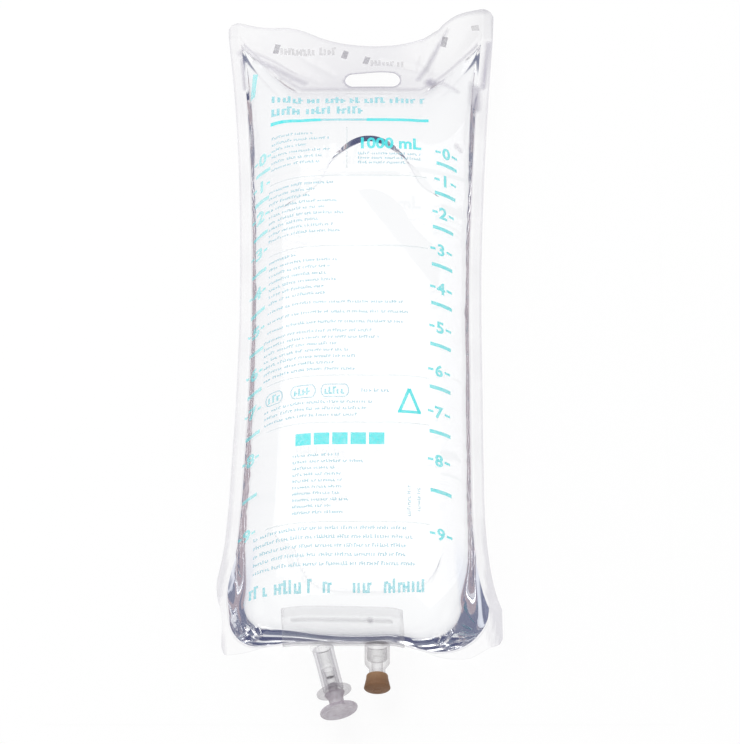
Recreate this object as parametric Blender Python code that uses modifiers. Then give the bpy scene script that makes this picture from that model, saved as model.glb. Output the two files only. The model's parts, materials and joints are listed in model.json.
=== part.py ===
"""A one-litre IV fluid bag, filled, lying on its back.

One clear film sheet is folded at the foot, welded up both sides and across the top, where the weld is
wide and carries the hanger slot. A moulded saddle wraps the fold and carries two ports: a soft tube with
a stiff sleeve and a pull-off cap, and a stepped neck with a rubber injection stopper.

Metres. The bag is modelled with its fold along y = 0 at the middle of its width and its back on z = 0,
and is moved at the end so that the origin is under the middle of the whole part.
+X is across the bag, +Y runs from the ports to the hanger slot, +Z is up from its back to its front.
"""

import math

import bmesh
import bpy
from mathutils import Matrix, Vector

# Film pouch
FILM = 0.00025
CHAMBER_LENGTH = 0.3455
CHAMBER_WIDTH = 0.124
CHAMBER_WAIST_WIDTH = 0.108
# Powers with which the filling's draw-in fades towards the ends: a higher one keeps a side straight longer
LEFT_FOOT_SPREAD = 3.4
RIGHT_FOOT_SPREAD = 8.0
SHOULDER_SPREAD = 3.4
FOOT_CORNER_RADIUS = 0.016
FOOT_ARCH = 0.003
FOOT_SKEW = 0.0025
SEAM_DIP = 0.0315
SEAM_FLAT_WIDTH = 0.062
SEAM_CURVE_POWER = 1.3
SIDE_WELD_WIDTH = 0.0055
BAG_THICKNESS = 0.0435
SEAM_HEIGHT = 0.0155
FRONT_FOOT_LENGTH = 0.038
FRONT_TOP_LENGTH = 0.085
BACK_FOOT_LENGTH = 0.070
BACK_TOP_LENGTH = 0.080
# Powers of the pillow's sections: a higher side, foot or top power holds it full for longer before it
# drops, and a lower steepness makes it drop more suddenly at the very fold
FRONT_SIDE_POWER = 4.2
FRONT_FOOT_POWER = 2.4
FRONT_FOOT_STEEPNESS = 0.59
FRONT_TOP_POWER = 3.2
BACK_SIDE_POWER = 2.4
BACK_END_POWER = 2.0
BACK_FOOT_STEEPNESS = 0.77
# How far over full the back's form is before it is cut off at 1: more widens the flat patch
BACK_PRESS = 1.45

# Tail, the wide weld above the chamber
TAIL_CORNER_RISE = 0.009
TAIL_SAG = 0.014
TAIL_DROOP = 0.006
RAISED_CORNER_LIFT = 0.012

# Ears of film that stand out at the foot's corners, and the roundness of the sheet's four corners
LEFT_EAR_DROP = 0.0015
RIGHT_EAR_DROP = 0.0040
SHEET_CORNER_RADIUS = 0.0045

# Hanger slot
SLOT_WIDTH = 0.028
SLOT_HEIGHT = 0.0085
SLOT_ABOVE_SEAM = 0.0065
SLOT_OFFSET = 0.006

# Ripples that the drawn-in side welds buckle into
RIPPLE_HEIGHT = 0.0011
RIPPLE_PITCH = 0.047
RIPPLE_EDGE_POWER = 8
RIPPLE_SIDE_SHIFT = 1.0

# Liquid
LIQUID_GAP = 0.0003
LIQUID_LEVEL = 0.0375

# Port saddle
SEAT_GAP = 0.0003
SADDLE_WALL = 0.0008
SADDLE_WIDTH = 0.057
SADDLE_REACH = 0.0135
SADDLE_OFFSET = -0.0075

# Set port: the tube on its spigot, its sleeve, and the pull-off cap
SET_PORT_FROM_SADDLE_MIDDLE = -0.0098
SET_PORT_LEAN = math.radians(13.7)
SET_COLLAR_RADIUS = 0.0056
SET_COLLAR_LENGTH = 0.0018
SET_SPIGOT_RADIUS = 0.0032
SET_SPIGOT_BORE_RADIUS = 0.0022
SET_SPIGOT_LENGTH = 0.0065
SET_TUBE_RADIUS = 0.0050
SET_TUBE_WALL = 0.0013
SET_TUBE_LENGTH = 0.0183
SLEEVE_DEPTH = 0.0108
SLEEVE_WALL = 0.0009
FLANGE_RADIUS = 0.0084
FLANGE_THICKNESS = 0.0013
DIAPHRAGM_DEPTH = 0.0080
DIAPHRAGM_THICKNESS = 0.0006
CAP_PLUG_DEPTH = 0.0050
CAP_NECK_RADIUS = 0.0038
CAP_NECK_LENGTH = 0.0077
CAP_DISC_RADIUS = 0.0091
CAP_DISC_THICKNESS = 0.0022
CAP_EDGE = 0.0007
CAP_NECK_FOOT_FLARE = 0.0013
CAP_NECK_FOOT_LENGTH = 0.0020

# Additive port: the stepped neck and its stopper
ADDITIVE_PORT_FROM_SADDLE_MIDDLE = 0.0156
NECK_COLLAR_RADIUS = 0.0066
NECK_COLLAR_LENGTH = 0.0008
NECK_SPIGOT_RADIUS = 0.0045
NECK_SPIGOT_BORE_RADIUS = 0.0033
NECK_SPIGOT_LENGTH = 0.0042
NECK_BASE_RADIUS = 0.0060
NECK_BASE_LENGTH = 0.0062
NECK_SHOULDER_LENGTH = 0.0028
NECK_TOP_RADIUS = 0.0039
NECK_TOP_LENGTH = 0.0066
NECK_BORE_RADIUS = 0.0027
STOPPER_EXPOSED_NECK = 0.0034
STOPPER_RIM_RADIUS = 0.0051
STOPPER_FLARE_RADIUS = 0.0067
STOPPER_LENGTH = 0.0082
STOPPER_LIP_LENGTH = 0.0014
STOPPER_DOME = 0.0018
STOPPER_STEM_LENGTH = 0.0045
STOPPER_WAIST_POWER = 2.2

# Fineness of the faceted surfaces
SADDLE_CELL = 0.0098
SIDE_CELL = 0.0078
END_CELL = 0.0074
MIDDLE_CELL = 0.0127
FOLD_ROWS = 6
FOLD_ROW_POWER = 1.7
FOOT_PART = 0.16
TOP_PART = 0.84
TAIL_ROWS = 4
WELD_COLUMNS = 2
ROUND_STEPS = 32

# How far a passage is cut into the chamber, and how far a port's column of liquid reaches into it
CHAMBER_DEPTH_AT_PORT = 0.0030
COLUMN_DEPTH_IN_CHAMBER = 0.0090

# A margin square to the seam's slope, as a multiple of the same margin along the bag
SEAM_STEEPNESS = math.hypot(
    1.0, 2.0 * SEAM_CURVE_POWER * SEAM_DIP / (CHAMBER_WIDTH - SEAM_FLAT_WIDTH))

# How far the front stands above the plane of the seams
INNER_RISE = BAG_THICKNESS - FILM - SEAM_HEIGHT


def smooth_step(value):
    """Rise from 0 to 1 with level ends."""
    value = min(max(value, 0.0), 1.0)
    return value * value * (3.0 - 2.0 * value)


def chamber_half_width(t, s):
    """The chamber's width from its middle line to side s, at t from 0 at the foot to 1 at the shoulders."""
    waist = 0.5 * CHAMBER_WAIST_WIDTH
    if t < 0.5:
        spread_power = RIGHT_FOOT_SPREAD if s > 0.0 else LEFT_FOOT_SPREAD
        return waist + (0.5 * CHAMBER_WIDTH - waist) * (1.0 - 2.0 * t) ** spread_power
    return waist + (0.5 * CHAMBER_WIDTH - waist) * (2.0 * t - 1.0) ** SHOULDER_SPREAD


def fold_line(s):
    """The fold across the foot, a little askew, with its middle drawn up by the ports."""
    return FOOT_ARCH * (1.0 - s * s) + FOOT_SKEW * s


def foot_line(s):
    """The chamber's foot: the fold, drawn up a little by the ports, with a round corner at each side."""
    straight = 1.0 - FOOT_CORNER_RADIUS / (0.5 * CHAMBER_WIDTH)
    turn = max(0.0, (abs(s) - straight) / (1.0 - straight))
    return fold_line(s) + FOOT_CORNER_RADIUS * (1.0 - math.sqrt(max(0.0, 1.0 - turn * turn)))


def seam_line(s):
    """The top weld's lower edge: level in the middle, rising to the shoulder at each side."""
    flat = SEAM_FLAT_WIDTH / CHAMBER_WIDTH
    rise = max(0.0, (abs(s) - flat) / (1.0 - flat))
    return CHAMBER_LENGTH - SEAM_DIP * (1.0 - rise ** SEAM_CURVE_POWER)


def corner_inset(beyond):
    """How far the sheet's end is drawn in at its round corners, over the side weld."""
    return SHEET_CORNER_RADIUS * (1.0 - math.sqrt(1.0 - beyond * beyond))


def tail_line(s):
    """The film's cut top edge, which sags between its corners."""
    return CHAMBER_LENGTH + TAIL_CORNER_RISE - TAIL_SAG * (1.0 - s * s)


def seam_plane(x, y):
    """Height of the plane in which the two films meet, over the whole sheet."""
    tail = smooth_step((y - CHAMBER_LENGTH + 2.0 * SEAM_DIP) / (2.0 * SEAM_DIP + TAIL_CORNER_RISE))
    edge = min(1.0, abs(x) / chamber_half_width(y / CHAMBER_LENGTH, x)) ** RIPPLE_EDGE_POWER
    ripple = RIPPLE_HEIGHT * math.sin(math.tau * y / RIPPLE_PITCH + (RIPPLE_SIDE_SHIFT if x > 0.0 else 0.0))
    return SEAM_HEIGHT - TAIL_DROOP * tail + ripple * edge * (1.0 - tail)


def front_fullness(s, above_fold, below_seam):
    """How full the front stands: 1 over the middle, 0 along the chamber's rim, steep at the fold."""
    side = 1.0 - min(1.0, abs(s)) ** FRONT_SIDE_POWER
    foot = (1.0 - max(0.0, 1.0 - above_fold / FRONT_FOOT_LENGTH) ** FRONT_FOOT_POWER) ** FRONT_FOOT_STEEPNESS
    top = 1.0 - max(0.0, 1.0 - below_seam / FRONT_TOP_LENGTH) ** FRONT_TOP_POWER
    return side * foot * top


def back_fullness(s, above_fold, below_seam):
    """The same for the back, which is pressed flat where this reaches 1."""
    side = 1.0 - min(1.0, abs(s)) ** BACK_SIDE_POWER
    foot = (1.0 - max(0.0, 1.0 - above_fold / BACK_FOOT_LENGTH) ** BACK_END_POWER) ** BACK_FOOT_STEEPNESS
    top = 1.0 - max(0.0, 1.0 - below_seam / BACK_TOP_LENGTH) ** BACK_END_POWER
    return min(1.0, BACK_PRESS * side * foot * top)


def chamber_point(s, t, face, grow):
    """A point of the chamber's wall, front (face 1) or back (face -1).

    grow 0 is the film's inside. A positive value lies that far outside it, a negative one inside it.
    """
    slack = grow if grow > 0.0 else 2.0 * grow
    side = chamber_half_width(t, s)
    x = s * (side + min(slack, 0.5 * grow))
    foot = foot_line(s)
    seam = seam_line(x / side)
    y = foot - slack + t * (seam - foot + (1.0 + SEAM_STEEPNESS) * slack)
    above_fold = t * (seam - foot)
    below_seam = (1.0 - t) * (seam - foot)
    plane = seam_plane(x, y)
    if face > 0:
        rise = (INNER_RISE + min(grow, 0.0)) * front_fullness(s, above_fold, below_seam)
        return Vector((x, y, plane + max(grow, 0.0) + rise))
    floor = FILM - grow
    start = plane - max(grow, 0.0)
    return Vector((x, y, floor + (start - floor) * (1.0 - back_fullness(s, above_fold, below_seam)) ** 2))


def spread(start, end, cell, ends=0.0):
    """Lines from start up to the end, about a cell apart. The end's own line is left to the next stretch.

    ends draws them together towards the start (below 0) or towards the end (above 0).
    """
    count = max(1, round((end - start) / cell))
    lines = []
    for index in range(count):
        part = index / count
        if ends < 0.0:
            part = 1.0 - math.cos(0.5 * math.pi * part) * -ends - (1.0 - part) * (1.0 + ends)
        elif ends > 0.0:
            part = math.sin(0.5 * math.pi * part) * ends + part * (1.0 - ends)
        lines.append(start + (end - start) * part)
    return lines


def saddle_edges():
    """The saddle's two edges as shares of the chamber's half width at the foot."""
    half = 0.5 * CHAMBER_WIDTH
    return (SADDLE_OFFSET - 0.5 * SADDLE_WIDTH) / half, (SADDLE_OFFSET + 0.5 * SADDLE_WIDTH) / half


def columns():
    """The lines across the chamber. The saddle's edges are two of them, so that it lies evenly."""
    half = 0.5 * CHAMBER_WIDTH
    crowding = 0.6
    left, right = saddle_edges()
    lines = spread(-1.0, left, SIDE_CELL / half, -crowding)
    lines += spread(left, right, SADDLE_CELL / half)
    lines += spread(right, 1.0, SIDE_CELL / half, crowding)
    return lines + [1.0]


def rows():
    """The lines along the chamber, closer at the fold. The saddle's edge is one of them."""
    reach = SADDLE_REACH / CHAMBER_LENGTH
    crowding = 0.5
    lines = [reach * (step / FOLD_ROWS) ** FOLD_ROW_POWER for step in range(FOLD_ROWS)]
    lines += spread(reach, FOOT_PART, END_CELL / CHAMBER_LENGTH)
    lines += spread(FOOT_PART, TOP_PART, MIDDLE_CELL / CHAMBER_LENGTH)
    lines += spread(TOP_PART, 1.0, END_CELL / CHAMBER_LENGTH, crowding)
    return lines + [1.0]


def sheet_object(name, front, back, collection):
    """A closed solid between two grids of points that have the same rows and columns."""
    work = bmesh.new()
    high = [[work.verts.new(point) for point in line] for line in front]
    low = [[work.verts.new(point) for point in line] for line in back]
    for row in range(len(front) - 1):
        for col in range(len(front[0]) - 1):
            turn = (row < len(front) // 2) == (col < len(front[0]) // 2)
            for grid in (high, low):
                corners = [grid[row][col], grid[row][col + 1], grid[row + 1][col + 1], grid[row + 1][col]]
                first = 0 if turn else 1
                ring = corners[first:] + corners[:first]
                work.faces.new((ring[0], ring[1], ring[2]))
                work.faces.new((ring[0], ring[2], ring[3]))
    rim = [(0, col) for col in range(len(front[0]) - 1)]
    rim += [(row, len(front[0]) - 1) for row in range(len(front) - 1)]
    rim += [(len(front) - 1, col) for col in range(len(front[0]) - 1, 0, -1)]
    rim += [(row, 0) for row in range(len(front) - 1, 0, -1)]
    for index, (row, col) in enumerate(rim):
        next_row, next_col = rim[(index + 1) % len(rim)]
        work.faces.new((low[row][col], low[next_row][next_col], high[next_row][next_col], high[row][col]))
    bmesh.ops.remove_doubles(work, verts=work.verts, dist=1e-7)
    bmesh.ops.triangulate(work, faces=work.faces)
    bmesh.ops.recalc_face_normals(work, faces=work.faces)
    mesh = bpy.data.meshes.new(name)
    work.to_mesh(mesh)
    work.free()
    item = bpy.data.objects.new(name, mesh)
    collection.objects.link(item)
    return item


def chamber_object(name, grow, collection):
    """The chamber's form as one closed solid."""
    faces = []
    for face in (1, -1):
        faces.append([[chamber_point(s, t, face, grow) for s in columns()] for t in rows()])
    return sheet_object(name, faces[0], faces[1], collection)


def cutter(item):
    """Mark an object as a tool that only cuts others."""
    item.hide_render = True
    item.display_type = "WIRE"
    return item


def combine(item, other, operation):
    """A Boolean modifier with the exact solver."""
    modifier = item.modifiers.new(other.name, "BOOLEAN")
    modifier.operation = operation
    modifier.solver = "EXACT"
    modifier.object = other


def turned(name, profile, collection, closed=True, steps=ROUND_STEPS):
    """A solid turned about its own Z. The profile's points are (radius, height), down the outer side."""
    mesh = bpy.data.meshes.new(name)
    points = [(radius, 0.0, height) for radius, height in profile]
    edges = [(index, index + 1) for index in range(len(points) - 1)]
    if closed:
        edges.append((len(points) - 1, 0))
    mesh.from_pydata(points, edges, [])
    item = bpy.data.objects.new(name, mesh)
    collection.objects.link(item)
    screw = item.modifiers.new("turn", "SCREW")
    screw.steps = steps
    screw.render_steps = steps
    screw.use_merge_vertices = True
    screw.merge_threshold = 1e-6
    screw.use_smooth_shade = True
    return item


def material(item, name, colour, roughness, alpha=1.0, transmission=0.0):
    """Give an object its own material."""
    made = bpy.data.materials.new(name)
    made.use_nodes = True
    shader = made.node_tree.nodes["Principled BSDF"]
    shader.inputs["Base Color"].default_value = (*colour, 1.0)
    shader.inputs["Roughness"].default_value = roughness
    shader.inputs["Alpha"].default_value = alpha
    shader.inputs["Transmission Weight"].default_value = transmission
    item.data.materials.append(made)


def port_root(offset):
    """The point of the saddle's outer face from which a port runs, at the fold."""
    x = SADDLE_OFFSET + offset
    s = x / chamber_half_width(0.0, x)
    return Vector((x, foot_line(s) - (FILM + SEAT_GAP + SADDLE_WALL), seam_plane(x, 0.0)))


def port_frame(offset, lean):
    """A frame at a port's root whose Z runs out along the port."""
    return Matrix.Translation(port_root(offset)) @ Matrix.Rotation(lean, 4, "Z") @ Matrix.Rotation(
        0.5 * math.pi, 4, "X")


def set_port_frame():
    return port_frame(SET_PORT_FROM_SADDLE_MIDDLE, SET_PORT_LEAN)


def additive_port_frame():
    return port_frame(ADDITIVE_PORT_FROM_SADDLE_MIDDLE, 0.0)


def rods(name, sizes, collection):
    """Round rods in one object. Each has a frame whose Z is its axis, a radius, and its two ends.

    They are turned by half a facet, so that no corner lies in the plane where the two films meet.
    """
    work = bmesh.new()
    for frame, radius, start, end in sizes:
        middle = frame @ Matrix.Translation((0.0, 0.0, 0.5 * (start + end)))
        middle = middle @ Matrix.Rotation(math.pi / ROUND_STEPS, 4, "Z")
        bmesh.ops.create_cone(work, cap_ends=True, segments=ROUND_STEPS, radius1=radius, radius2=radius,
                              depth=end - start, matrix=middle)
    mesh = bpy.data.meshes.new(name)
    work.to_mesh(mesh)
    work.free()
    item = bpy.data.objects.new(name, mesh)
    collection.objects.link(item)
    return item


def port_passages(name, tools):
    """The cutter for the passages from the chamber through the film and the saddle into both ports."""
    reach = 2.0 * max(SET_COLLAR_LENGTH + SET_SPIGOT_LENGTH, NECK_COLLAR_LENGTH + NECK_SPIGOT_LENGTH)
    return cutter(rods(name, (
        (set_port_frame(), SET_SPIGOT_BORE_RADIUS, -CHAMBER_DEPTH_AT_PORT, reach),
        (additive_port_frame(), NECK_SPIGOT_BORE_RADIUS, -CHAMBER_DEPTH_AT_PORT, reach)), tools))


def make_film(parts, tools):
    """The welded film sheet: chamber, side welds, foot ears and tail, hollow and slotted."""
    across = [(-1.0, 1.0 - step / WELD_COLUMNS) for step in range(WELD_COLUMNS)]
    across += [(s, 0.0) for s in columns()]
    across += [(1.0, (step + 1) / WELD_COLUMNS) for step in range(WELD_COLUMNS)]
    along = [(0.0, 1.0)] + [(t, 0.0) for t in rows()]
    along += [(1.0, (step + 1) / TAIL_ROWS) for step in range(TAIL_ROWS)]
    ears = max(map(abs, saddle_edges()))
    faces = {1: [], -1: []}
    for index, (t, past) in enumerate(along):
        for face, sheet in faces.items():
            line = []
            for s, beyond in across:
                point = chamber_point(s, t, face, FILM)
                point.x += math.copysign(beyond * SIDE_WELD_WIDTH, s)
                if past > 0.0 and index == 0:
                    drop = RIGHT_EAR_DROP if s > 0.0 else LEFT_EAR_DROP
                    drop *= max(0.0, (abs(s) - ears) / (1.0 - ears))
                    point.y = fold_line(s) - FILM - drop + corner_inset(beyond)
                elif past > 0.0:
                    point.y += (tail_line(s) - corner_inset(beyond) - point.y) * past
                if beyond > 0.0 or past > 0.0:
                    point.z = seam_plane(point.x, point.y) + face * FILM
                if index > 0:
                    raised = smooth_step(point.x / (0.5 * CHAMBER_WIDTH))
                    point.z += RAISED_CORNER_LIFT * past ** 1.5 * raised
                line.append(point)
            sheet.append(line)
    film = sheet_object("bag_film", faces[1], faces[-1], parts)
    combine(film, cutter(chamber_object("film_inside", 0.0, tools)), "DIFFERENCE")
    combine(film, hanger_slot(tools), "DIFFERENCE")
    combine(film, port_passages("film_passages", tools), "DIFFERENCE")
    material(film, "clear_film", (0.86, 0.86, 0.90), 0.08, 0.3)
    return film


def hanger_slot(tools):
    """The cutter for the punched slot: a stadium through the tail."""
    curve = bpy.data.curves.new("hanger_slot", "CURVE")
    curve.dimensions = "2D"
    curve.fill_mode = "BOTH"
    curve.extrude = BAG_THICKNESS
    spline = curve.splines.new("POLY")
    radius = 0.5 * SLOT_HEIGHT
    reach = 0.5 * SLOT_WIDTH - radius
    turns = ROUND_STEPS // 4
    corners = []
    for side in (1.0, -1.0):
        for step in range(turns + 1):
            angle = math.pi * step / turns - side * 0.5 * math.pi
            corners.append((side * reach + radius * math.cos(angle), radius * math.sin(angle)))
    spline.points.add(len(corners) - 1)
    for point, (x, y) in zip(spline.points, corners):
        point.co = (x, y, 0.0, 1.0)
    spline.use_cyclic_u = True
    flat = bpy.data.objects.new("hanger_slot_outline", curve)
    tools.objects.link(flat)
    bpy.context.view_layer.update()
    mesh = bpy.data.meshes.new_from_object(flat.evaluated_get(bpy.context.evaluated_depsgraph_get()))
    bpy.data.objects.remove(flat)
    work = bmesh.new()
    work.from_mesh(mesh)
    bmesh.ops.remove_doubles(work, verts=work.verts, dist=1e-7)
    bmesh.ops.recalc_face_normals(work, faces=work.faces)
    work.to_mesh(mesh)
    work.free()
    slot = bpy.data.objects.new("hanger_slot", mesh)
    tools.objects.link(slot)
    slot.location = (SLOT_OFFSET, seam_line(0.0) + SLOT_ABOVE_SEAM, SEAM_HEIGHT)
    return cutter(slot)


def make_saline(parts, tools):
    """The liquid, level on top under the air bubble, with a column standing in each port."""
    saline = chamber_object("saline", -LIQUID_GAP, parts)
    air = bpy.data.meshes.new("air")
    work = bmesh.new()
    bmesh.ops.create_cube(work, size=1.0)
    size = (2.0 * CHAMBER_WIDTH, 2.0 * CHAMBER_LENGTH, BAG_THICKNESS)
    bmesh.ops.scale(work, verts=work.verts, vec=size)
    bmesh.ops.translate(work, verts=work.verts, vec=(
        0.0, 0.5 * CHAMBER_LENGTH, LIQUID_LEVEL + 0.5 * BAG_THICKNESS))
    work.to_mesh(air)
    work.free()
    above = bpy.data.objects.new("air", air)
    tools.objects.link(above)
    combine(saline, cutter(above), "DIFFERENCE")
    set_top = SET_COLLAR_LENGTH + SEAT_GAP + SET_TUBE_LENGTH
    set_top += FLANGE_THICKNESS - DIAPHRAGM_DEPTH - DIAPHRAGM_THICKNESS
    additive_top = NECK_COLLAR_LENGTH + SEAT_GAP + NECK_BASE_LENGTH + NECK_SHOULDER_LENGTH
    additive_top += NECK_TOP_LENGTH - STOPPER_STEM_LENGTH
    set_radius = SET_SPIGOT_BORE_RADIUS - LIQUID_GAP
    additive_radius = min(NECK_SPIGOT_BORE_RADIUS, NECK_BORE_RADIUS) - LIQUID_GAP
    standing = rods("port_columns", (
        (set_port_frame(), set_radius, -COLUMN_DEPTH_IN_CHAMBER, set_top - LIQUID_GAP),
        (additive_port_frame(), additive_radius, -COLUMN_DEPTH_IN_CHAMBER, additive_top - LIQUID_GAP)), tools)
    combine(saline, cutter(standing), "UNION")
    material(saline, "saline", (0.93, 0.96, 0.98), 0.02, 0.25)
    return saline


def make_saddle(parts, tools):
    """The moulded saddle: a thin flap up the front and back of the fold, and a spigot for each port."""
    left, right = saddle_edges()
    slim = 1e-6
    lines = [s for s in columns() if left - slim <= s <= right + slim]
    reach = [t for t in rows() if t <= SADDLE_REACH / CHAMBER_LENGTH + slim]
    sides = []
    for grow in (FILM + SEAT_GAP + SADDLE_WALL, FILM + SEAT_GAP):
        wrap = [[chamber_point(s, t, 1, grow) for s in lines] for t in reversed(reach)]
        wrap += [[chamber_point(s, t, -1, grow) for s in lines] for t in reach]
        sides.append(wrap)
    saddle = sheet_object("port_saddle", sides[0], sides[1], parts)
    middle = cutter(chamber_object("saddle_wall_middle", FILM + SEAT_GAP + 0.5 * SADDLE_WALL, tools))
    ports = (
        ("set_port", set_port_frame(), SET_COLLAR_RADIUS, SET_COLLAR_LENGTH,
         SET_SPIGOT_RADIUS, SET_SPIGOT_LENGTH),
        ("additive_port", additive_port_frame(), NECK_COLLAR_RADIUS, NECK_COLLAR_LENGTH,
         NECK_SPIGOT_RADIUS, NECK_SPIGOT_LENGTH))
    for name, frame, collar, seat, spigot, spigot_length in ports:
        end = seat + spigot_length
        boss = turned(name + "_boss", [
            (0.0, end), (spigot, end), (spigot, seat), (collar, seat), (collar, -CHAMBER_DEPTH_AT_PORT),
            (0.0, -CHAMBER_DEPTH_AT_PORT)], tools, False)
        boss.matrix_world = frame
        combine(boss, middle, "DIFFERENCE")
        combine(saddle, cutter(boss), "UNION")
    combine(saddle, port_passages("saddle_passages", tools), "DIFFERENCE")
    material(saddle, "milky_plastic", (0.90, 0.91, 0.93), 0.35, 0.6)
    return saddle


def make_set_port(parts):
    """The soft tube, the stiff sleeve in its end, and the cap. Returns the pieces."""
    frame = set_port_frame()
    start = SET_COLLAR_LENGTH + SEAT_GAP
    end = start + SET_TUBE_LENGTH
    bore = SET_TUBE_RADIUS - SET_TUBE_WALL
    tube = turned("set_port_tube", [
        (SET_TUBE_RADIUS, end), (SET_TUBE_RADIUS, start), (bore, start), (bore, end)], parts)
    tube.matrix_world = frame
    material(tube, "clear_soft_tube", (0.90, 0.90, 0.92), 0.15, 0.4)

    outer = bore - SEAT_GAP
    inner = outer - SLEEVE_WALL
    face = end + SEAT_GAP
    mouth = face + FLANGE_THICKNESS
    inlet = end - SLEEVE_DEPTH
    stop = mouth - DIAPHRAGM_DEPTH
    sleeve = turned("set_port_sleeve", [
        (0.0, stop), (inner, stop), (inner, mouth), (FLANGE_RADIUS, mouth), (FLANGE_RADIUS, face),
        (outer, face), (outer, inlet), (inner, inlet), (inner, stop - DIAPHRAGM_THICKNESS),
        (0.0, stop - DIAPHRAGM_THICKNESS)], parts, False)
    sleeve.matrix_world = frame
    material(sleeve, "clear_hard_plastic", (0.88, 0.88, 0.90), 0.12, 0.5)

    plug = inner - SEAT_GAP
    seat = SEAT_GAP
    neck = seat + CAP_NECK_LENGTH
    disc = neck + CAP_DISC_THICKNESS
    brim = CAP_DISC_RADIUS - CAP_EDGE
    cap = turned("set_port_cap", [
        (0.0, disc), (brim, disc), (CAP_DISC_RADIUS, disc - CAP_EDGE), (CAP_DISC_RADIUS, neck + CAP_EDGE),
        (brim, neck), (CAP_NECK_RADIUS, neck), (CAP_NECK_RADIUS, seat + CAP_NECK_FOOT_LENGTH),
        (CAP_NECK_RADIUS + CAP_NECK_FOOT_FLARE, seat), (plug, seat), (plug, seat - CAP_PLUG_DEPTH),
        (0.0, seat - CAP_PLUG_DEPTH)], parts, False)
    cap.matrix_world = frame @ Matrix.Translation((0.0, 0.0, mouth))
    material(cap, "frosted_cap_plastic", (0.86, 0.86, 0.88), 0.3, 0.75)
    return tube, sleeve, cap


def make_additive_port(parts):
    """The stepped neck and the rubber stopper that caps and plugs it."""
    frame = additive_port_frame()
    start = NECK_COLLAR_LENGTH + SEAT_GAP
    socket = NECK_SPIGOT_RADIUS + SEAT_GAP
    floor = start + NECK_SPIGOT_LENGTH
    base = start + NECK_BASE_LENGTH
    shoulder = base + NECK_SHOULDER_LENGTH
    top = shoulder + NECK_TOP_LENGTH
    neck = turned("additive_port_neck", [
        (NECK_TOP_RADIUS, top), (NECK_TOP_RADIUS, shoulder), (NECK_BASE_RADIUS, base),
        (NECK_BASE_RADIUS, start), (socket, start), (socket, floor), (NECK_BORE_RADIUS, floor),
        (NECK_BORE_RADIUS, top)], parts)
    neck.matrix_world = frame
    material(neck, "clear_neck_plastic", (0.90, 0.90, 0.91), 0.12, 0.45)

    lip = shoulder + STOPPER_EXPOSED_NECK
    skirt = NECK_TOP_RADIUS + SEAT_GAP
    ceiling = top + SEAT_GAP
    stem = NECK_BORE_RADIUS - SEAT_GAP
    stem_end = top - STOPPER_STEM_LENGTH + SEAT_GAP
    end = lip + STOPPER_LENGTH
    flare = end - STOPPER_DOME
    steps = 5
    profile = [(0.0, end)]
    for step in range(1, steps + 1):
        angle = 0.5 * math.pi * step / steps
        profile.append((STOPPER_FLARE_RADIUS * math.sin(angle), flare + STOPPER_DOME * math.cos(angle)))
    body = lip + STOPPER_LIP_LENGTH
    spread_out = STOPPER_FLARE_RADIUS - STOPPER_RIM_RADIUS
    for step in range(1, steps + 1):
        along = 1.0 - step / steps
        radius = STOPPER_RIM_RADIUS + spread_out * along ** STOPPER_WAIST_POWER
        profile.append((radius, body + (flare - body) * along))
    profile += [(STOPPER_RIM_RADIUS, lip), (skirt, lip), (skirt, ceiling), (stem, ceiling), (stem, stem_end),
                (0.0, stem_end)]
    stopper = turned("additive_port_stopper", profile, parts, False)
    stopper.matrix_world = frame
    material(stopper, "brown_rubber", (0.30, 0.18, 0.07), 0.7)
    return neck, stopper


def rest_at_origin(parts):
    """Move every part so that the origin is under the middle of the whole bag."""
    bpy.context.view_layer.update()
    graph = bpy.context.evaluated_depsgraph_get()
    low = Vector((math.inf, math.inf, math.inf))
    high = -low
    for item in parts.objects:
        shape = item.evaluated_get(graph)
        for vertex in shape.data.vertices:
            place = shape.matrix_world @ vertex.co
            low = Vector(map(min, low, place))
            high = Vector(map(max, high, place))
    shift = Vector((-0.5 * (low.x + high.x), -0.5 * (low.y + high.y), -low.z))
    for item in bpy.data.objects:
        if item.parent is None:
            item.matrix_world = Matrix.Translation(shift) @ item.matrix_world


def main():
    for item in list(bpy.data.objects):
        bpy.data.objects.remove(item, do_unlink=True)
    parts = bpy.data.collections.new("iv_fluid_bag")
    tools = bpy.data.collections.new("cutters")
    bpy.context.scene.collection.children.link(parts)
    bpy.context.scene.collection.children.link(tools)
    make_film(parts, tools)
    make_saline(parts, tools)
    make_saddle(parts, tools)
    make_set_port(parts)
    make_additive_port(parts)
    rest_at_origin(parts)


main()
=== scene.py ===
"""A filled one-litre IV fluid bag lying on its back: how it looks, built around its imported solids."""

import json
import math
import random

import bmesh
import bpy
import numpy as np
from mathutils import Matrix, Vector
from mathutils.bvhtree import BVHTree

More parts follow.
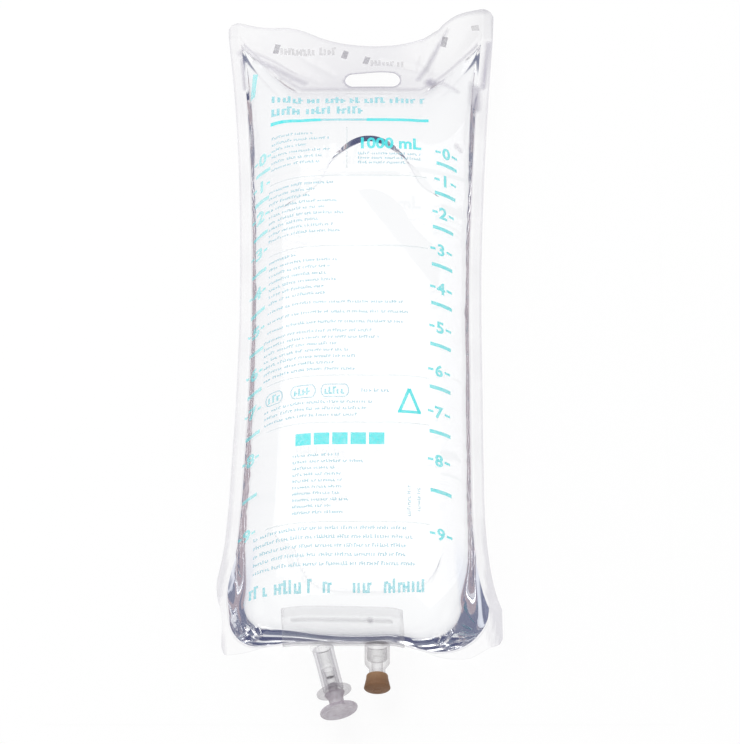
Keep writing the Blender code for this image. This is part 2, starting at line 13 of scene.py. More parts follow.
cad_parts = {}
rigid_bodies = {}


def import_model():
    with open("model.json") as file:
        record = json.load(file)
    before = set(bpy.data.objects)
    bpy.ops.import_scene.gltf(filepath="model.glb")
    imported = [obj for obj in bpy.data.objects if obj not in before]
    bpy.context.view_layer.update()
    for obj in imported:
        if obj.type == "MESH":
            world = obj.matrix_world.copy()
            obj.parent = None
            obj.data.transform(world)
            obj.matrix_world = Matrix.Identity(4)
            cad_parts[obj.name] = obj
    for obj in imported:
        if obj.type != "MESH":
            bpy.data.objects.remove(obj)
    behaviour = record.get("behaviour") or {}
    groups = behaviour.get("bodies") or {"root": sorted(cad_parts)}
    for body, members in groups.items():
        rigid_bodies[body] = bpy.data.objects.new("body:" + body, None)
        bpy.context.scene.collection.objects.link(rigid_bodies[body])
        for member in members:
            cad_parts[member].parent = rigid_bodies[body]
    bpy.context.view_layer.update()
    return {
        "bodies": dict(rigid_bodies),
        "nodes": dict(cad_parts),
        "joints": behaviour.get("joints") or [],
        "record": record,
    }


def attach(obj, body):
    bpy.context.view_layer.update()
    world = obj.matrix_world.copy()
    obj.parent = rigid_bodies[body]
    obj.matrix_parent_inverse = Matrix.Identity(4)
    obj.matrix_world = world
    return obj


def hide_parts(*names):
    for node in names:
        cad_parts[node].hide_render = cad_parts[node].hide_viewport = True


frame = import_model()

# The view. The photograph looks along the bag from its ports, well above it and from far off, so the
# camera has a long lens. Nothing in the scene is a cord or a sheet of cloth.
VIEW_ELEVATION = math.radians(62.0)
VIEW_DISTANCE = 2.1
VIEW_AIM = Vector((0.0047, -0.0101, 0.015))
view_line = Vector((0.0, math.cos(VIEW_ELEVATION), -math.sin(VIEW_ELEVATION)))
camera_data = bpy.data.cameras.new("photo_camera")
camera_data.sensor_fit = "HORIZONTAL"
camera_data.sensor_width = 36.0
camera_data.lens = 208.5
camera = bpy.data.objects.new("photo_camera", camera_data)
bpy.context.scene.collection.objects.link(camera)
camera.location = VIEW_AIM - view_line * VIEW_DISTANCE
camera.rotation_euler = (math.radians(90.0) - VIEW_ELEVATION, 0.0, 0.0)
bpy.context.scene.camera = camera
bpy.context.scene.view_settings.view_transform = "Standard"
bpy.context.scene.cycles.max_bounces = 24
bpy.context.scene.cycles.glossy_bounces = 12
bpy.context.scene.cycles.transmission_bounces = 16

# The pillow's form. One sheet of clear film is folded at the foot and welded up both sides and across the
# top. The litre inside swells it, draws its sides in, and presses its back flat on the table. Film and liquid
# both take their form from here, from points across it (s, -1 to 1) and along it (t, 0 to 1).
FOLD_Y = -0.16097
FILM = 0.00025
CHAMBER_LENGTH = 0.3455
FOOT_HALF = 0.062
WAIST_HALF = 0.054
SHOULDER_HALF = 0.062
LEFT_FOOT_SPREAD = 1.6
RIGHT_FOOT_SPREAD = 8.0
LEFT_SHOULDER_SPREAD = 2.4
RIGHT_SHOULDER_SPREAD = 1.6
LEFT_BULGE = 0.0030
LEFT_CORNER_RADIUS = 0.017
RIGHT_CORNER_RADIUS = 0.023
FOOT_ARCH = 0.0055
SEAM_DIP = 0.0315
SEAM_FLAT = 0.5
SEAM_CURVE_POWER = 1.3
BAG_THICKNESS = 0.0435
SEAM_HEIGHT = 0.0155
FRONT_FOOT_LENGTH = 0.038
FRONT_TOP_LENGTH = 0.085
BACK_FOOT_LENGTH = 0.060
BACK_TOP_LENGTH = 0.080
TAIL_CORNER_RISE = 0.009
TAIL_SAG = 0.014
TAIL_DROOP = 0.006
RIPPLE_HEIGHT = 0.0011
RIPPLE_PITCH = 0.047
PUCKERS_FROM = 0.03
PUCKERS_TO = 0.31
PUCKER_PITCH = (0.005, 0.013)
RIM_FADE = 0.0015


def smooth_step(value):
    """Rise from 0 to 1 with level ends."""
    value = np.clip(value, 0.0, 1.0)
    return value * value * (3.0 - 2.0 * value)


def left_bulge(above_fold):
    """Where the liquid crowds against the left side weld, just above the foot."""
    return np.exp(-((above_fold - 0.017) / 0.015) ** 2)


def half_width(t, s):
    """Half the chamber's width on side s, at t along it."""
    foot_power = np.where(s > 0.0, RIGHT_FOOT_SPREAD, LEFT_FOOT_SPREAD)
    below = (FOOT_HALF - WAIST_HALF) * np.clip(1.0 - 2.0 * t, 0.0, None) ** foot_power
    shoulder_power = np.where(s > 0.0, RIGHT_SHOULDER_SPREAD, LEFT_SHOULDER_SPREAD)
    above = (SHOULDER_HALF - WAIST_HALF) * np.clip(2.0 * t - 1.0, 0.0, 1.0) ** shoulder_power
    return WAIST_HALF + below + above + np.where(s < 0.0, LEFT_BULGE * left_bulge(t * CHAMBER_LENGTH), 0.0)


def fold_line(s):
    """The fold across the foot, drawn up in its middle by the ports, and less far towards the right."""
    reach = np.where(s > 0.0, 0.60, 1.10)
    return FOOT_ARCH * (1.0 - smooth_step((np.abs(s) / reach - 0.35) / 0.65))


def foot_line(s):
    """The chamber's foot: the fold with a round corner at each side, rounder at the right."""
    radius = np.where(s > 0.0, RIGHT_CORNER_RADIUS, LEFT_CORNER_RADIUS)
    straight = 1.0 - radius / FOOT_HALF
    turn = np.clip((np.abs(s) - straight) / (1.0 - straight), 0.0, 1.0)
    return fold_line(s) + radius * (1.0 - np.sqrt(1.0 - turn * turn))


def seam_line(s):
    """The top weld's lower edge, level in the middle and rising to each shoulder."""
    rise = np.clip((np.abs(s) - SEAM_FLAT) / (1.0 - SEAM_FLAT), 0.0, None)
    return CHAMBER_LENGTH - SEAM_DIP * (1.0 - rise ** SEAM_CURVE_POWER)


def seam_plane(x, y):
    """Height of the plane where the two films meet, which ripples along the side welds."""
    tail = smooth_step((y - CHAMBER_LENGTH + 2.0 * SEAM_DIP) / (2.0 * SEAM_DIP + TAIL_CORNER_RISE))
    edge = np.minimum(1.0, np.abs(x) / half_width(y / CHAMBER_LENGTH, x)) ** 8
    ripple = RIPPLE_HEIGHT * np.sin(math.tau * y / RIPPLE_PITCH + np.where(x > 0.0, 1.0, 0.0))
    return SEAM_HEIGHT - TAIL_DROOP * tail + ripple * edge * (1.0 - tail)


def cut_line(s):
    """The tail's cut edge, which dips in its middle and steps up before the raised corner."""
    dip = smooth_step((s + 0.62) / 0.60) * (1.0 - smooth_step((s - 0.50) / 0.30))
    return CHAMBER_LENGTH + TAIL_CORNER_RISE - TAIL_SAG * (0.5 * (1.0 - s * s) + 0.39 * dip)


def front_fullness(s, above_fold, below_seam):
    """How full the front stands, 1 over the middle and 0 at the rim."""
    side = 1.0 - np.minimum(1.0, np.abs(s)) ** 4.2
    foot = (1.0 - np.clip(1.0 - above_fold / FRONT_FOOT_LENGTH, 0.0, 1.0) ** 2.4) ** 0.59
    top = 1.0 - np.clip(1.0 - below_seam / FRONT_TOP_LENGTH, 0.0, 1.0) ** 3.2
    return side * foot * top


def back_fullness(s, above_fold, below_seam):
    """The same for the back, which lies flat where this is 1."""
    side = 1.0 - np.minimum(1.0, np.abs(s)) ** (2.4 + 1.6 * smooth_step((above_fold - 0.025) / 0.03))
    foot = (1.0 - np.clip(1.0 - above_fold / BACK_FOOT_LENGTH, 0.0, 1.0) ** 2.0) ** 0.77
    top = 1.0 - np.clip(1.0 - below_seam / BACK_TOP_LENGTH, 0.0, 1.0) ** 2.0
    return np.minimum(1.0, 1.45 * side * foot * top)


def chamber_points(s, t, face, grow):
    """Points of the chamber's wall, front (face 1) or back (-1), grow outside the film's inner face."""
    slack = grow if grow > 0.0 else 2.0 * grow
    side = half_width(t, s)
    x = s * (side + min(slack, 0.5 * grow))
    foot = foot_line(s)
    seam = seam_line(x / side)
    steep = math.hypot(1.0, SEAM_CURVE_POWER * SEAM_DIP / (SHOULDER_HALF * (1.0 - SEAM_FLAT)))
    y = foot - slack + t * (seam - foot + (1.0 + steep) * slack)
    above_fold = t * (seam - foot)
    below_seam = (1.0 - t) * (seam - foot)
    plane = seam_plane(x, y)
    if face > 0:
        inner_rise = BAG_THICKNESS - FILM - SEAM_HEIGHT
        rise = (inner_rise + min(grow, 0.0)) * front_fullness(s, above_fold, below_seam)
        z = plane + max(grow, 0.0) + rise
    else:
        floor = FILM - grow
        start = plane - max(grow, 0.0)
        z = floor + (start - floor) * (1.0 - back_fullness(s, above_fold, below_seam)) ** 2
    return np.stack([x, y + FOLD_Y, z], axis=-1)


def fold_list():
    """The film's creases: where each starts and ends in plan, its half width and its depth.

    Short puckers stand along both side welds, and long folds run in from the pillow's four corners.
    """
    draw = random.Random(11)
    folds = []
    for side in (-1.0, 1.0):
        y = FOLD_Y + PUCKERS_FROM
        while y < FOLD_Y + PUCKERS_TO:
            y += draw.uniform(*PUCKER_PITCH)
            edge = side * float(half_width(np.array((y - FOLD_Y) / CHAMBER_LENGTH), np.array(side)))
            reach = draw.uniform(0.003, 0.008)
            folds.append((edge, y, edge - side * reach, y + draw.uniform(-0.005, 0.005),
                          draw.uniform(0.0012, 0.0024), draw.uniform(0.0002, 0.0007)))
        foot, shoulder = FOLD_Y + 0.006, FOLD_Y + CHAMBER_LENGTH - 0.004
        for x, y, in_x, in_y, width, depth in ((0.058, foot + 0.014, 0.010, 0.070, 0.0036, 0.0003),
                                               (0.061, shoulder, 0.026, -0.050, 0.0030, 0.0020),
                                               (0.058, shoulder, 0.038, -0.030, 0.0026, 0.0016),
                                               (0.062, shoulder, 0.010, -0.075, 0.0026, 0.0016)):
            jitter = draw.uniform(0.75, 1.2)
            folds.append((side * x, y, side * (x - in_x * jitter), y + in_y * jitter, width, depth))
    return folds


def beside_line(x, y, line):
    """How far along a line from (x0, y0) to (x1, y1) each place lies, 0 to 1, and how far away from it."""
    x0, y0, x1, y1 = line
    run = (x1 - x0) ** 2 + (y1 - y0) ** 2
    along = np.clip(((x - x0) * (x1 - x0) + (y - y0) * (y1 - y0)) / run, 0.0, 1.0)
    return along, np.hypot(x - x0 - along * (x1 - x0), y - y0 - along * (y1 - y0))


folds = fold_list()


def pressed_in(points):
    """How deep the folds and puckers press the film in at each point."""
    x, y = points[..., 0], points[..., 1]
    depth = np.zeros_like(x)
    for *line, width, deep in folds:
        along, away = beside_line(x, y, line)
        depth = np.maximum(depth, deep * (1.0 - along ** 2) * np.exp(-(away / width) ** 1.6))
    return depth


def grid_normals(points, face):
    """The outward normal at each point of a grid."""
    down = np.gradient(points, axis=0)
    over = np.gradient(points, axis=1)
    normal = np.cross(over, down) * face
    return normal / np.maximum(np.linalg.norm(normal, axis=-1, keepdims=True), 1e-12)


def wall_grid(s, t, face, grow):
    """A grid of the chamber's wall with its folds pressed in, never below the table."""
    points = chamber_points(s[None, :], t[:, None], face, grow)
    depth = pressed_in(points)
    if face < 0:
        off_middle = smooth_step((np.abs(points[..., 0]) - 0.040) / 0.008)
        depth = depth * smooth_step(points[..., 2] / 0.008) * off_middle
    rim = np.minimum(1.0, (1.0 - np.abs(s))[None, :] * FOOT_HALF / RIM_FADE)
    rim = rim * np.minimum(1.0, t[:, None] * CHAMBER_LENGTH / RIM_FADE)
    rim = rim * np.minimum(1.0, (1.0 - t)[:, None] * CHAMBER_LENGTH / RIM_FADE)
    points = points - grid_normals(points, face) * (depth * rim)[..., None]
    points[..., 2] = np.maximum(points[..., 2], FILM - grow if face < 0 else 0.0)
    return points


def chamber_columns(count):
    """Values of s from -1 to 1, closer together at the sides."""
    return np.sin(np.linspace(-1.0, 1.0, count + 1) * 1.25) / math.sin(1.25)


def chamber_rows(fold_count, count):
    """Values of t from 0 to 1, much closer together at the fold."""
    start = 0.04
    fold = start * (np.arange(fold_count) / fold_count) ** 2.2
    part = np.linspace(0.0, 1.0, count + 1)
    return np.concatenate([fold, start + (1.0 - start) * (0.7 * part + 0.3 * np.sin(0.5 * math.pi * part))])


def closed_skin(name, front, back):
    """A closed mesh between two grids of the same size that share their rim, or are joined along it."""
    rows, cols = front.shape[:2]
    work = bmesh.new()
    high = [[work.verts.new(point) for point in line] for line in front.tolist()]
    low = [[work.verts.new(point) for point in line] for line in back.tolist()]
    for row in range(rows - 1):
        for col in range(cols - 1):
            work.faces.new((high[row][col], high[row][col + 1], high[row + 1][col + 1], high[row + 1][col]))
            work.faces.new((low[row][col], low[row + 1][col], low[row + 1][col + 1], low[row][col + 1]))
    rim = [(0, col) for col in range(cols - 1)] + [(row, cols - 1) for row in range(rows - 1)]
    rim += [(rows - 1, col) for col in range(cols - 1, 0, -1)] + [(row, 0) for row in range(rows - 1, 0, -1)]
    for index, (row, col) in enumerate(rim):
        next_row, next_col = rim[(index + 1) % len(rim)]
        work.faces.new((low[row][col], low[next_row][next_col], high[next_row][next_col], high[row][col]))
    bmesh.ops.remove_doubles(work, verts=work.verts, dist=2e-6)
    bmesh.ops.recalc_face_normals(work, faces=work.faces)
    return finished(name, work)


def finished(name, work, sharp=0.6):
    """A smooth-shaded object from a bmesh, with its edges kept sharp where they turn by more than sharp."""
    for face in work.faces:
        face.smooth = True
    for edge in work.edges:
        edge.smooth = len(edge.link_faces) == 2 and edge.calc_face_angle(0.0) < sharp
    mesh = bpy.data.meshes.new(name)
    work.to_mesh(mesh)
    work.free()
    item = bpy.data.objects.new(name, mesh)
    bpy.context.scene.collection.objects.link(item)
    return item


def cut_from(item, tool, sharp=0.6):
    """Take a closed tool out of a closed piece, for good."""
    cut = item.modifiers.new("cut", "BOOLEAN")
    cut.operation = "DIFFERENCE"
    cut.solver = "MANIFOLD"
    cut.object = tool
    bpy.context.view_layer.update()
    mesh = bpy.data.meshes.new_from_object(item.evaluated_get(bpy.context.evaluated_depsgraph_get()))
    item.modifiers.clear()
    work = bmesh.new()
    work.from_mesh(mesh)
    bpy.data.meshes.remove(mesh)
    bpy.data.objects.remove(tool)
    name = item.name
    bpy.data.objects.remove(item)
    return finished(name, work, sharp)


# The film itself, a quarter of a millimetre thick, as one closed skin over the pillow, its welds and its
# tail. The tail is the wide weld above the chamber. It has gone stiff and wavy in the sealing press, its
# right corner stands up, and the hanger slot is punched through it. The foot's corners stick out as ears.
SIDE_WELD_WIDTH = 0.0055
SHEET_CORNER_RADIUS = 0.0045
RAISED_CORNER_LIFT = 0.015
LEFT_WAVE_LIFT = 0.006
COLUMNS = 116
FOLD_ROWS = 26
ROWS = 226
SLOT_PLACE = (0.006, 0.1595)
SLOT_WIDTH = 0.028
SLOT_HEIGHT = 0.0085
BUBBLE_MIDDLE = (0.0042, -0.0165)
BUBBLE_HALF_WIDTH = 0.0385
BUBBLE_NEAR_REACH = 0.1225
BUBBLE_NEAR_POWER = 5.0


def tail_waves(x, y, past):
    """Soft waves and crisp creases of the tail, which start at the seam and grow towards the cut edge."""
    wave = 0.0011 * np.sin(95.0 * x + 40.0 * y + 0.6) + 0.0007 * np.sin(210.0 * x - 120.0 * y)
    creases = 0.0
    for *line, width, deep in (
            (-0.052, 0.178, -0.020, 0.157, 0.0016, 0.0012), (-0.034, 0.177, -0.014, 0.163, 0.0012, 0.0009),
            (0.030, 0.172, 0.046, 0.156, 0.0016, 0.0016), (0.040, 0.186, 0.033, 0.160, 0.0014, 0.0018),
            (0.060, 0.186, 0.044, 0.164, 0.0018, 0.0015), (0.010, 0.171, 0.030, 0.166, 0.0012, 0.0009),
            (-0.060, 0.165, -0.040, 0.160, 0.0014, 0.0010)):
        away = beside_line(x, y, line)[1]
        creases = creases - deep * np.clip(1.0 - away / (2.0 * width), 0.0, 1.0) ** 1.3
    return (wave + creases) * smooth_step(past / 0.35)


def tail_place(x, y, past, face):
    """Height of the tail's skin at a share of the way from the seam (0) to the cut edge (1)."""
    plane = seam_plane(x, y - FOLD_Y) + face * FILM
    share = x / SHOULDER_HALF
    lift = RAISED_CORNER_LIFT * smooth_step((share - 0.25) / 0.6)
    left_end = 1.0 - 0.7 * smooth_step((-0.6 - share) / 0.4)
    lift = lift + LEFT_WAVE_LIFT * smooth_step((-0.10 - share) / 0.4) * left_end
    return plane + lift * past ** 1.5 + tail_waves(x, y, past)


def film_grids():
    """The skin's front and back, chamber, welds, ears and tail together."""
    s_inner = chamber_columns(COLUMNS)
    t_inner = chamber_rows(FOLD_ROWS, ROWS)
    weld = np.linspace(0.0, 1.0, 5)[1:]
    s = np.concatenate([np.full(4, -1.0), s_inner, np.full(4, 1.0)])
    beyond = np.concatenate([weld[::-1], np.zeros(len(s_inner)), weld])
    ear = np.linspace(0.0, 1.0, 4)[1:][::-1]
    tail = np.linspace(0.0, 1.0, 31)[1:]
    grids = []
    inset = SHEET_CORNER_RADIUS * (1.0 - np.sqrt(1.0 - np.clip(beyond, 0.0, 0.999) ** 2))
    for face in (1, -1):
        inner = wall_grid(s_inner, t_inner, face, FILM)
        wide = np.concatenate([np.repeat(inner[:, :1], 4, 1), inner, np.repeat(inner[:, -1:], 4, 1)], axis=1)
        weld_here = SIDE_WELD_WIDTH - 0.9 * LEFT_BULGE * left_bulge(wide[:, :1, 1] - FOLD_Y) * (s < 0.0)
        wide[..., 0] += np.sign(s) * beyond * weld_here
        outside = (beyond > 0.0)[None, :]
        plane = seam_plane(wide[..., 0], wide[..., 1] - FOLD_Y) + face * FILM
        wide[..., 2] = np.where(outside, plane, wide[..., 2])
        foot_rows = []
        left_drop = 0.0012 * smooth_step((-s - 0.70) / 0.20)
        right_drop = 0.0030 * smooth_step((s - 0.45) / 0.25) - 0.0065 * smooth_step((s - 0.80) / 0.25)
        drop = np.where(s > 0.0, right_drop, left_drop)
        end = fold_line(s) - FILM - drop + inset + FOLD_Y
        for past in ear:
            line = wide[0].copy()
            line[:, 1] += (end - line[:, 1]) * past
            line[:, 2] = seam_plane(line[:, 0], line[:, 1] - FOLD_Y) + face * FILM
            foot_rows.append(line)
        tail_rows = []
        cut = cut_line(s) - inset + FOLD_Y
        for past in tail:
            line = wide[-1].copy()
            line[:, 1] += (cut - line[:, 1]) * past
            line[:, 2] = tail_place(line[:, 0], line[:, 1], past, face)
            tail_rows.append(line)
        grids.append(np.concatenate([np.array(foot_rows), wide, np.array(tail_rows)], axis=0))
    return grids


def band(work, one, two):
    """Faces between two rings, where one of them may be a single vertex."""
    count = max(len(one), len(two))
    for step in range(count):
        after = (step + 1) % count
        if len(one) == 1:
            work.faces.new((one[0], two[step], two[after]))
        elif len(two) == 1:
            work.faces.new((one[after], one[step], two[0]))
        else:
            work.faces.new((one[step], two[step], two[after], one[after]))


def slot_punch():
    """The round-ended punch that cuts the hanger slot."""
    radius = 0.5 * SLOT_HEIGHT
    reach = 0.5 * SLOT_WIDTH - radius
    work = bmesh.new()
    rings = []
    for z in (-0.01, 0.06):
        ring = []
        for side in (1.0, -1.0):
            for step in range(17):
                angle = math.pi * step / 16 - side * 0.5 * math.pi
                ring.append(work.verts.new((SLOT_PLACE[0] + side * reach + radius * math.cos(angle),
                                            SLOT_PLACE[1] + radius * math.sin(angle), z)))
        rings.append(ring)
    work.faces.new(rings[0][::-1])
    work.faces.new(rings[1])
    band(work, rings[1], rings[0])
    bmesh.ops.triangulate(work, faces=work.faces)
    bmesh.ops.recalc_face_normals(work, faces=work.faces)
    return finished("slot_punch", work)


film_front, film_back = film_grids()
film = cut_from(closed_skin("film_pouch", film_front, film_back), slot_punch())


def vertex_places(item):
    """Every vertex of a piece as an array of places."""
    flat = np.zeros(3 * len(item.data.vertices), np.float32)
    item.data.vertices.foreach_get("co", flat)
    return flat.reshape(-1, 3)


def store(item, name, values):
    """Keep a value at each vertex of a piece, for its material to read."""
    kept = item.data.attributes.new(name, "FLOAT", "POINT")
    kept.data.foreach_set("value", values.ravel().astype(np.float32))


# Where two layers are welded the film is cloudy, most of all in the middle of the tail. It is darker along
# the seam and the cut edges, and clearest over the liquid. Darker lines along the tail's creases and the
# folds near the shoulders are painted shade.
x, y, z = vertex_places(film).T
y_in = y - FOLD_Y
side_here = half_width(np.clip(y_in / CHAMBER_LENGTH, 0.0, 1.0), x)
share = np.clip(x / side_here, -1.0, 1.0)
above_seam = y_in - seam_line(share)
in_tail = smooth_step(above_seam / 0.0015)
beside = smooth_step((np.abs(x) - side_here) / 0.0015)
in_ear = beside * smooth_step((0.014 - y_in) / 0.010)
haze_and_shade = 0.010 + np.where(x > 0.0, 0.055, 0.025) * beside + in_ear * np.where(x > 0.0, 0.06, 0.14)
tail_middle = 0.13 * np.exp(-((x + 0.004) / 0.036) ** 2) * (1.0 - 0.5 * smooth_step(above_seam / 0.02))
haze_and_shade = haze_and_shade + in_tail * (0.03 + tail_middle)
cut_edge = cut_line(share)
haze_and_shade = haze_and_shade + np.where(x > 0.030, 0.18, 0.09) * smooth_step((y_in - cut_edge + 0.0016) / 0.0014)
haze_and_shade = haze_and_shade + 0.15 * smooth_step((np.abs(x) - side_here - SIDE_WELD_WIDTH + 0.0012) / 0.0010)
haze_and_shade = haze_and_shade + 0.30 * np.clip(1.0 - np.abs(above_seam - 0.0004) / 0.0016, 0.0, 1.0) * (np.abs(share) < 0.97)
past_middle = np.maximum(np.abs(x - SLOT_PLACE[0]) - 0.5 * (SLOT_WIDTH - SLOT_HEIGHT), 0.0)
slot_away = np.hypot(past_middle, y - SLOT_PLACE[1])
haze_and_shade = haze_and_shade + 0.45 * smooth_step((0.5 * SLOT_HEIGHT + 0.0009 - slot_away) / 0.0008)
# Painted shade: darker lines along the tail's creases and the folds near the shoulders.
for *line, wide, strength in (
        (-0.0610, 0.1770, -0.0284, 0.1575, 0.0030, 0.40), (-0.0590, 0.1800, -0.0330, 0.1640, 0.0014, 0.22),
        (0.0292, 0.1600, 0.0400, 0.1791, 0.0022, 0.40), (0.0400, 0.1791, 0.0440, 0.1850, 0.0016, 0.26),
        (0.0350, 0.1580, 0.0395, 0.1555, 0.0036, 0.85), (0.0395, 0.1555, 0.0490, 0.1445, 0.0017, 0.60),
        (-0.0132, 0.1885, -0.0075, 0.1830, 0.0015, 0.55), (-0.0100, 0.1790, -0.0120, 0.1690, 0.0020, 0.10),
        (-0.0300, 0.1590, -0.0420, 0.1605, 0.0013, 0.25), (0.0275, 0.1600, 0.0300, 0.1740, 0.0020, 0.12),
        (0.0578, 0.1535, 0.0576, 0.1418, 0.0040, 0.80), (0.0480, 0.1095, 0.0500, 0.1088, 0.0018, 0.70),
        (0.0655, 0.1830, 0.0622, 0.1550, 0.0022, 0.55), (-0.0604, 0.1724, -0.0588, 0.1545, 0.0018, 0.45)):
    haze_and_shade = np.maximum(haze_and_shade, strength * np.clip(1.0 - beside_line(x, y, line)[1] / wide, 0.0, 1.0))
# A faint curve along the bubble's near edge is painted into the film: painted shade where the bubble's rim
# lies under it.
power = BUBBLE_NEAR_POWER
out_x = np.abs(x - BUBBLE_MIDDLE[0]) / BUBBLE_HALF_WIDTH
out_y = (BUBBLE_MIDDLE[1] - y) / (BUBBLE_NEAR_REACH + 0.0004)
edge = (out_x ** power + np.maximum(out_y, 0.0) ** power) ** (1.0 / power)
curve = 0.16 * np.exp(-((edge - 1.0) * BUBBLE_NEAR_REACH / 0.0010) ** 2)
haze_and_shade = haze_and_shade + curve * smooth_step((out_y - 0.84) / 0.05) * (z > 0.03)
store(film, "haze_and_shade", np.clip(haze_and_shade, 0.0, 0.9))
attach(film, "bag")
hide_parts("bag_film")


def add_node(tree, kind, values=None, **settings):
    """Add a shader node with its settings. Each input named is linked to a socket or set to a plain value."""
    node = tree.nodes.new("ShaderNode" + kind)
    for name, value in settings.items():
        setattr(node, name, value)
    for name, value in (values or {}).items():
        if isinstance(value, bpy.types.NodeSocket):
            tree.links.new(value, node.inputs[name])
        else:
            node.inputs[name].default_value = value
    return node


def calc(tree, operation, *values):
    """The result of one step of arithmetic on numbers and sockets."""
    return add_node(tree, "Math", dict(enumerate(values)), operation=operation).outputs["Value"]


def stored(tree, name):
    """A value that is kept at each vertex of the mesh."""
    return add_node(tree, "Attribute", attribute_name=name).outputs["Fac"]


def surface_group(name, outputs):
    """An empty shader group with the inputs Scale and Strength, and the named outputs."""
    group = bpy.data.node_groups.new(name, "ShaderNodeTree")
    for label in ("Scale", "Strength"):
        socket = group.interface.new_socket(label, in_out="INPUT", socket_type="NodeSocketFloat")
        socket.default_value = 1.0
    for label in outputs:
        group.interface.new_socket(label, in_out="OUTPUT", socket_type="NodeSocketFloat")
    return group, group.nodes.new("NodeGroupInput"), group.nodes.new("NodeGroupOutput")


def crinkle_group():
    """Fine crinkling of handled film: a broad wave, and thin crease lines."""
    group, taken, given = surface_group("film_crinkle", ("Height",))
    place = add_node(group, "TexCoord").outputs["Object"]
    wave = add_node(group, "TexNoise", {"Vector": place, "Scale": 60.0, "Detail": 3.0}).outputs["Fac"]
    cells = add_node(group, "TexVoronoi", {"Vector": place, "Scale": taken.outputs["Scale"]},
                     feature="DISTANCE_TO_EDGE").outputs["Distance"]
    line = add_node(group, "MapRange", {"Value": cells, "From Max": 0.06, "To Min": 1.0, "To Max": 0.0})
    height = calc(group, "MULTIPLY_ADD", line.outputs["Result"], 0.25, wave)
    group.links.new(calc(group, "MULTIPLY", height, taken.outputs["Strength"]), given.inputs["Height"])
    return group


crinkle = crinkle_group()


def new_material(name, colour, roughness, ior=1.5):
    """A material with its Principled BSDF, whose plain values are set on its own sockets."""
    made = bpy.data.materials.new(name)
    made.use_nodes = True
    shader = made.node_tree.nodes["Principled BSDF"]
    shader.inputs["Base Color"].default_value = (*colour, 1.0)
    shader.inputs["Roughness"].default_value = roughness
    shader.inputs["IOR"].default_value = ior
    return made, made.node_tree, shader


def put_on(item, made):
    """Give a piece one material."""
    item.data.materials.clear()
    item.data.materials.append(made)


def add_group(tree, group, scale, strength):
    """Place a shared effect in a material with its own values."""
    return add_node(tree, "Group", {"Scale": scale, "Strength": strength}, node_tree=group)


def add_bump(tree, shader, height, distance):
    """Feed a height into the shader's normal."""
    bump = add_node(tree, "Bump", {"Height": height, "Strength": 1.0, "Distance": distance})
    tree.links.new(bump.outputs["Normal"], shader.inputs["Normal"])


def edge_alpha(tree, shader, face_on, edge_on, blend, hidden_inside=False):
    """Clear plastic that shows least face on and most at its edges.

    hidden_inside leaves it out for rays that come through the liquid.
    """
    facing = add_node(tree, "LayerWeight", {"Blend": blend}).outputs["Facing"]
    span = add_node(tree, "MapRange", {"Value": facing, "To Min": face_on, "To Max": edge_on})
    alpha = span.outputs["Result"]
    if hidden_inside:
        inside = add_node(tree, "LightPath").outputs["Is Transmission Ray"]
        alpha = calc(tree, "MULTIPLY", alpha, calc(tree, "SUBTRACT", 1.0, inside))
    tree.links.new(alpha, shader.inputs["Alpha"])


film_look, tree, shader = new_material("clear_film", (0.44, 0.42, 0.50), 0.12)
add_bump(tree, shader, add_group(tree, crinkle, 130.0, 1.0).outputs["Height"], 0.0006)
edge_alpha(tree, shader, stored(tree, "haze_and_shade"), 0.45, 0.20, True)
put_on(film, film_look)

# The saline, clear as water. It fills the pouch to a level line, and the air above it is one long flat
# bubble against the front film. The bubble's rim curls under the film, which is what shows as a dark arc.
LIQUID_GAP = 0.0003
LIQUID_LEVEL = 0.0362
BUBBLE_FAR_REACH = 0.1275
BUBBLE_FAR_POWER = 2.1
BUBBLE_STEPS = 180
BUBBLE_RIM_ROUND = 0.0050
BUBBLE_RIM_RISE = 0.0008
BUBBLE_SHOULDER_REACH = 0.0046
BUBBLE_SHOULDER_SLOPE = math.tan(math.radians(37.0))
BUBBLE_OVERRUN = 0.016


